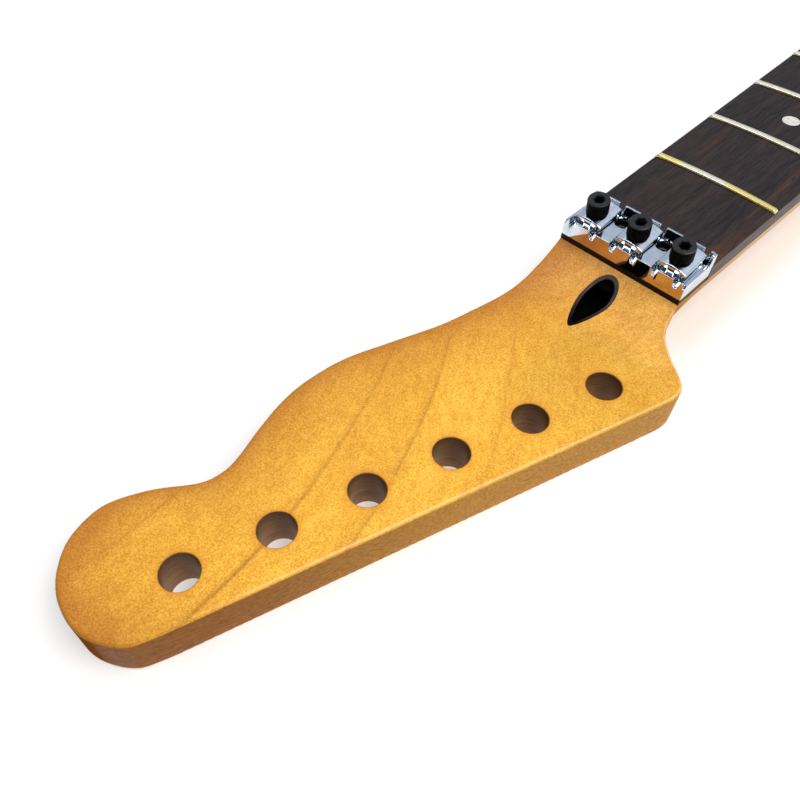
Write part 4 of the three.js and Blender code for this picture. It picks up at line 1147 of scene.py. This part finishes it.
# Studio: a pale floor under the neck, a big soft light overhead and a smaller one from beyond the
# headstock's tip.
def paper_finish():
    """A matt surface that also shows itself white to the camera and in reflections, more so away from
    the neck, so that it reads as paper while it still takes the neck's shadow. Beside the neck that
    glow is painted dimmer and warmer, as the neck's shadow and light bounced off the wood. It is clear
    from below, and where wood lies on it, it lights that wood's back."""
    material, tree, shader, place = new_material("paper_floor")
    path = node(tree, "ShaderNodeLightPath").outputs
    seen = sums("MAXIMUM", path["Is Camera Ray"], path["Is Glossy Ray"])
    seen = sums("MAXIMUM", seen, path["Is Transmission Ray"])
    tip = node(tree, "ShaderNodeVectorMath", operation="DISTANCE")
    put(place, tip.inputs[0])
    put((0, -0.66, 0), tip.inputs[1])
    away = tip.outputs["Value"]
    glow = sums("ADD", levels(away, 0.10, 0.22, 0.41, 0.52), levels(away, 0.5, 0.9, 0, 0.5))
    touching = levels(path["Ray Length"], 0.001, 0.009, 0.6, 0)
    under = times(path["Is Diffuse Ray"], touching)
    x, y = (coordinate(place, axis) for axis in (0, 1))
    # Painted warm shadow: a band beside the neck on its bass side, near the nut, where the glow is dimmer
    # and warmer.
    painted_warm_shadow = times(
        levels(x, 0, 0.02), levels(x, 0.024, 0.040, 1, 0),
        levels(y, -0.48, -0.43), levels(y, -0.35, -0.2, 1, 0),
    )
    fed(
        shader, Base_Color=(0.60, 0.575, 0.55), Roughness=1, Specular_IOR_Level=0,
        Emission_Color=mixed(painted_warm_shadow, (1, 1, 1), (0.62, 0.53, 0.46)),
        Emission_Strength=sums("MAXIMUM", times(seen, glow), under),
    )
    below = node(tree, "ShaderNodeNewGeometry").outputs["Backfacing"]
    either = node(tree, "ShaderNodeMixShader", Fac=below)
    put(shader.outputs[0], either.inputs[1])
    put(node(tree, "ShaderNodeBsdfTransparent").outputs[0], either.inputs[2])
    put(either.outputs[0], tree.nodes["Material Output"].inputs[0])
    return material


floor_mesh = bpy.data.meshes.new("floor")
FLOOR_REACH, FLOOR_Z = 4, -0.0004
corners = [(x * FLOOR_REACH, y * FLOOR_REACH, FLOOR_Z) for x, y in ((-1, -1), (1, -1), (1, 1), (-1, 1))]
floor_mesh.from_pydata(corners, [], [(0, 1, 2, 3)])
floor_mesh.materials.append(paper_finish())
linked("floor", floor_mesh)


def soft_light(name, place, target, width, height, watts, colour=(1, 1, 1)):
    """A rectangular soft light at a place, facing a target."""
    data = bpy.data.lights.new(name, "AREA")
    data.shape, data.size, data.size_y = "RECTANGLE", width, height
    data.energy, data.color = watts, colour
    lamp = linked(name, data)
    lamp.location = place
    lamp.visible_camera = False
    lamp.rotation_euler = (Vector(target) - Vector(place)).to_track_quat("-Z", "Y").to_euler()


soft_light("softbox", (0.34, -0.42, 0.70), (0.0, -0.50, 0), 0.5, 0.5, 5.05, (1, 0.99, 0.98))
soft_light("window", (-0.30, -1.05, 0.70), (0.0, -0.45, 0), 0.35, 0.25, 1.0)

# The room: pale grey-blue in front of the neck, where the chrome looks, and dim behind the camera.
world = bpy.data.worlds.new("studio")
bpy.context.scene.world = world
world.use_nodes = True
sky = world.node_tree
background = sky.nodes["Background"]
direction = node(sky, "ShaderNodeTexCoord").outputs["Generated"]


def facing(axis, low, high, start, end):
    """start to end as the direction turns towards an axis, from a dot product of low to one of high."""
    made = node(sky, "ShaderNodeVectorMath", operation="DOT_PRODUCT")
    put(direction, made.inputs[0])
    put(Vector(axis).normalized(), made.inputs[1])
    return levels(made.outputs["Value"], low, high, start, end)


room = colours(facing((0, 0, 1), -0.2, 1, 0, 1), [
    (0.0, (0.62, 0.62, 0.62)), (0.17, (0.34, 0.35, 0.37)), (0.66, (0.34, 0.38, 0.44)),
    (0.76, (0.58, 0.63, 0.70)), (1.0, (0.76, 0.81, 0.88)),
])
dim = facing((-0.05, -0.97, 0.20), 0, 0.8, 1, 0.2)
side_light = facing((0.93, 0.30, 0.20), 0.3, 0.9, 1, 1.5)
left_light = facing((-0.85, 0.3, 0.42), 0.55, 0.9, 1, 1.6)
seen = node(sky, "ShaderNodeLightPath").outputs["Is Camera Ray"]
fed(background, Color=mixed(seen, room, (1, 1, 1)),
    Strength=sums("MAXIMUM", times(dim, side_light, left_light), seen))
